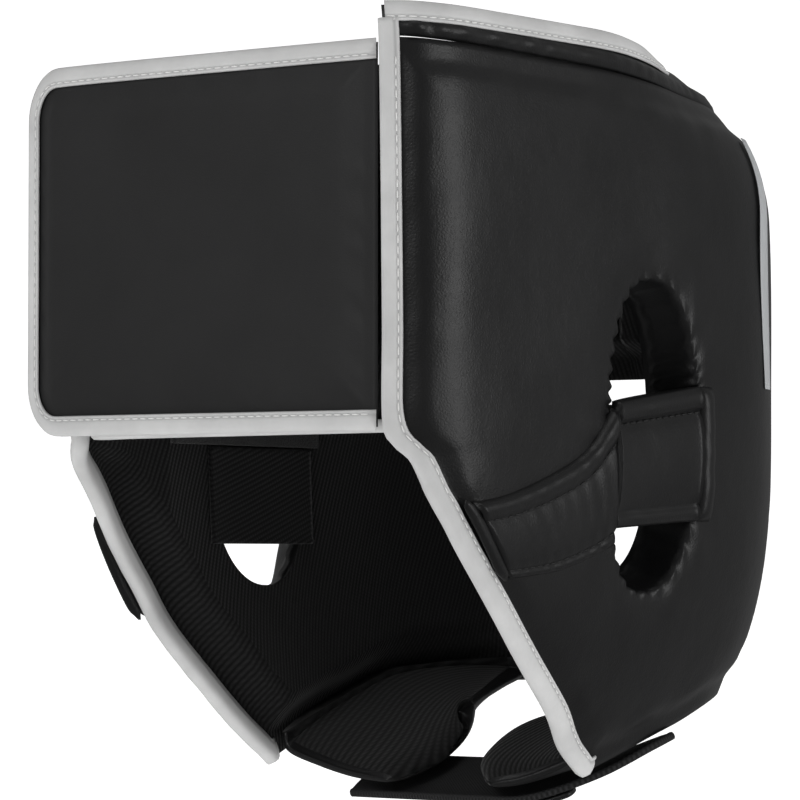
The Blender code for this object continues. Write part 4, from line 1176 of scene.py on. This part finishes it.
def flap_grid(side, places, count):
    in_lining = -EDGE_SET_IN - EDGE_THICK - 4 * GAP - FLAP_THICK / 2
    columns = []
    for place in places:
        y = FLAP_ROOT_FRONT + (FLAP_ROOT_REAR[side] - FLAP_ROOT_FRONT) * (place + 1) / 2
        along = along_at(side, y)
        edge = edge_height(side, along)
        rows = [on_skin(side, along, edge + lap, in_lining) for lap in (FLAP_LAP, 0)]
        reach = place * FLAP_WIDTH / 2
        tip = np.array([side * (FLAP_END[side] + FLAP_ROUND * abs(place) ** 2.5), FLAP_SET_BACK + reach,
                        -JAW_DROP + FLAP_RISE + reach * FLAP_TILT])
        for share in (0.30, 0.60, 0.85, 1.0):
            sag = FLAP_SAG * math.sin(math.pi * share) * (1 - place) / 2
            rows.append(rows[1] + (tip - rows[1]) * share - np.array([0, 0, sag]))
        columns.append(curve_through(rows, count))
    return sections_of(columns)


def chin_flap(side):
    places = np.sin(np.linspace(-math.pi / 2, math.pi / 2, FLAP_COLUMNS))
    grid = flap_grid(side, places, FLAP_ROWS)
    shape = np.sqrt(np.maximum(0.06, 1 - np.abs(places) ** 6))
    ends = np.sqrt(np.maximum(0.08, 1 - np.linspace(0, 1, FLAP_ROWS) ** 14))
    half = FLAP_THICK / 2 * shape[None, :] * ends[:, None]
    upper, lower = sheet_sides(grid, half)
    run = np.linspace(0, 80 * MM, FLAP_ROWS)
    lay = np.array([[(r, p * FLAP_WIDTH / 2) for p in places] for r in run])
    loops = np.concatenate([upper, lower[:, ::-1]], axis=1)
    lay = np.concatenate([lay, lay[:, ::-1]], axis=1)
    rim = [1] * FLAP_RIM
    kinds = rim + [0] * (FLAP_COLUMNS - 1 - 2 * FLAP_RIM) + rim + [1] * (FLAP_COLUMNS + 1)
    flap = piece_from_grid(f"chin_flap_{word(side)}_padded", loops, [FLAP_KNIT, SMOOTH_LEATHER], lay,
                           column_finish=kinds)
    wear(flap, "lining_knit", f"chin_flap_{word(side)}")


for side in (1, -1):
    chin_flap(side)

# %% [markdown]
# The chin strap leaves the left panel's lower edge and lies under both flaps. Its second
# layer ends in a round tab. The strap is webbing and the tab is leather.

# %% Chin strap
STRAP_WIDTH, STRAP_FORWARD, STRAP_UNDER = 27 * MM, 8 * MM, 2.2 * MM
CHIN_STRAP_THICK, CHIN_TAB_THICK = 3 * MM, 2.2 * MM
STRAP_ROOT_BACK, CHIN_STRAP_END = 68 * MM, 34 * MM


def strap_hem(y):
    along = float(along_at(1, y))
    return on_skin(1, along, edge_height(1, along) - 3 * GAP - CHIN_STRAP_THICK / 2, 0)


def chin_strap_rows(count):
    slope = math.sqrt(1 + FLAP_TILT ** 2)
    across = np.array([0, 1, FLAP_TILT]) / slope
    below = np.array([0, FLAP_TILT, -1]) / slope
    apart = FLAP_THICK / 2 + STRAP_UNDER + CHIN_STRAP_THICK / 2
    under = np.array([0, FLAP_SET_BACK, -JAW_DROP + FLAP_RISE]) + below * apart - across * STRAP_FORWARD
    hem = strap_hem(STRAP_ROOT_BACK)
    side_on = np.array([-1, 0, -0.35]) / math.sqrt(1 + 0.35 ** 2)
    inward = side_on * STRAP_WIDTH / 2
    rows = (
        (hem + inward, side_on),
        (strap_hem(0.82 * STRAP_ROOT_BACK) + inward, side_on),
        ((0.70 * hem[0], under[1] + 0.46 * STRAP_WIDTH, under[2] + 0.12 * STRAP_WIDTH), (-0.80, 0.58, 0.0)),
        ((0.52 * hem[0], under[1] + 0.10 * STRAP_WIDTH, under[2]), (-0.28, 0.85, 0.40)),
        ((0.30 * hem[0], *under[1:]), across),
        ((0.0, *under[1:]), across),
        ((-CHIN_STRAP_END, *under[1:]), across),
    )
    flat = [list(point) + list(np.array(way) / np.linalg.norm(way)) for point, way in rows]
    return curve_through(flat, count)


def band_piece(name, rows, halves, thick, finish, slot, *nodes):
    places = np.array([-1, -0.97, -0.9, -0.84, -0.6, -0.2, 0.2, 0.6, 0.84, 0.9, 0.97, 1])
    tall = np.array([0.35, 0.85, 1.0, 0.85, 1.0, 1.05, 1.05, 1.0, 0.85, 1.0, 0.85, 0.35])
    grid = rows[:, None, :3] + rows[:, None, 3:] * np.array(halves)[:, None, None] * places[None, :, None]
    upper, lower = sheet_sides(grid, np.tile(thick / 2 * tall, (len(rows), 1)))
    run = run_along(rows[:, :3])
    lay = np.stack(np.broadcast_arrays(run[:, None], places[None, :] * STRAP_WIDTH / 2), axis=-1)
    band = piece_from_grid(name, np.concatenate([upper, lower[:, ::-1]], axis=1), [finish],
                           np.concatenate([lay, lay[:, ::-1]], axis=1))
    return wear(band, slot, *nodes)


def chin_strap():
    rows = chin_strap_rows(101)
    band_piece("chin_strap_band", rows, [STRAP_WIDTH / 2] * len(rows), CHIN_STRAP_THICK, WEBBING, "webbing",
               "chin_strap")
    rows = rows[55:91].copy()
    below = np.array([0, FLAP_TILT, -1]) / math.sqrt(1 + FLAP_TILT ** 2)
    rows[:, :3] += below * ((CHIN_STRAP_THICK + CHIN_TAB_THICK) / 2 + GAP)
    shares = np.linspace(1, 0, len(rows))
    halves = STRAP_WIDTH / 2 * np.sqrt(1 - 0.75 * np.maximum(0, (shares - 0.8) / 0.2) ** 2)
    band_piece("chin_strap_round_end", rows, halves, CHIN_TAB_THICK, SMOOTH_LEATHER, "smooth_leather", "chin_strap_tab")


chin_strap()

# %% [markdown]
# A plain grey stripe is printed on the leather down the rear of each side. It is a very thin
# skin just over the panel.

# %% Printed stripes
STRIPE_TOP, STRIPE_FOOT, STRIPE_BACK, STRIPE_BOW = -6 * MM, -96 * MM, 0.63, 3 * MM
STRIPE_HALF, STRIPE_SWELL, STRIPE_FACE, STRIPE_BASE = 4.2 * MM, 1.2 * MM, 1.45 * MM, 1.25 * MM


def side_stripe(side):
    height = np.linspace(STRIPE_TOP, STRIPE_FOOT, 60)
    bow = np.sin(np.linspace(0, 1, 60) * math.pi)
    middle = along_at(side, STRIPE_BACK * BACK_REACH) + STRIPE_BOW * bow
    half = STRIPE_HALF + STRIPE_SWELL * bow
    face = [(place, STRIPE_FACE) for place in (-1, -0.5, 0, 0.5, 1)]
    base = [(place, STRIPE_BASE) for place in (1, 0, -1)]
    loops = [on_skin(side, middle + half * place, height, lift) for place, lift in face + base]
    stripe = piece_from_grid(f"side_stripe_{word(side)}", sections_of(loops), [GREY_PRINT])
    wear(stripe, "white_tape")


for side in (1, -1):
    side_stripe(side)

# %% [markdown]
# The set is a pale sweep: a floor that curves up into a wall, so there is no horizon. A large
# soft light in front and one above light the whole; a tall one at the wearer's left gives the
# side panel its upright highlight.

# %% Floor, lights and camera
FLOOR = -0.32
FOCAL, DISTANCE = 176.8, 1.4
AZIMUTH, ELEVATION = math.radians(38), math.radians(-2.3)
AIM = Vector((0, 0, -0.1006))
SWEEP_START, SWEEP_TURN, SWEEP_TOP, SWEEP_HALF = -6.0, 2.5, 8.0, 9
WORLD_GLOW = 0.22
LIGHTS = (
    # name, place, width and height, watts
    ("key_light", (-0.1, -1.9, 0.9), (1.1, 0.9), 14),
    ("left_light", (1.80, 0.62, 0.05), (0.45, 1.3), 12),
    ("top_light", (0.3, -0.1, 1.8), (1.0, 1.0), 6),
)


def pale_sweep():
    turn = np.radians(np.linspace(0, 90, 20))
    curve = [(SWEEP_TURN * (1 + math.sin(a)), FLOOR + SWEEP_TURN * (1 - math.cos(a))) for a in turn]
    line = [(SWEEP_START, FLOOR)] + curve + [(2 * SWEEP_TURN, SWEEP_TOP)]
    towards_wall = np.array([-math.sin(AZIMUTH), math.cos(AZIMUTH)])
    across = np.array([math.cos(AZIMUTH), math.sin(AZIMUTH)])
    grid = [[(*(towards_wall * deep + across * wide), tall) for wide in (-SWEEP_HALF, SWEEP_HALF)]
            for deep, tall in line]
    made = Finish("pale_sweep", Roughness=0.9, Specular_IOR_Level=0.0, Emission_Strength=0.72)
    cloud = made.noise(2, 2)
    made.shade("Base Color", made.mix(cloud, (0.86, 0.86, 0.86), (0.88, 0.88, 0.88)))
    made.shade("Emission Color", made.mix(cloud, (0.98, 0.98, 0.98), (1.0, 1.0, 1.0)))
    sweep = piece_from_grid("pale_sweep", grid, [made.stuff], around=False)
    sweep.visible_glossy = False


def soft_light(name, where, size, watts):
    lamp = bpy.data.lights.new(name, "AREA")
    lamp.shape, lamp.size, lamp.size_y, lamp.energy = "RECTANGLE", *size, watts
    thing = place_object(name, lamp)
    thing.location = where
    thing.rotation_euler = (AIM - Vector(where)).to_track_quat("-Z", "Y").to_euler()


def camera():
    eye = bpy.data.cameras.new("photo_view")
    eye.lens, eye.sensor_width = FOCAL, 36
    eye.dof.use_dof = False
    thing = place_object("photo_view", eye)
    back = Vector((math.sin(AZIMUTH) * math.cos(ELEVATION), -math.cos(AZIMUTH) * math.cos(ELEVATION),
                   math.sin(ELEVATION)))
    thing.location = AIM + back * DISTANCE
    thing.rotation_euler = back.to_track_quat("Z", "Y").to_euler()
    bpy.context.scene.camera = thing


pale_sweep()
for light in LIGHTS:
    soft_light(*light)
world = bpy.data.worlds.new("white_room")
world.use_nodes = True
glow = world.node_tree.nodes["Background"]
glow.inputs[0].default_value = (1, 1, 1, 1)
glow.inputs[1].default_value = WORLD_GLOW
bpy.context.scene.world = world
bpy.context.scene.view_settings.view_transform = "Standard"
camera()
print("camera looks at", tuple(round(v, 4) for v in AIM))
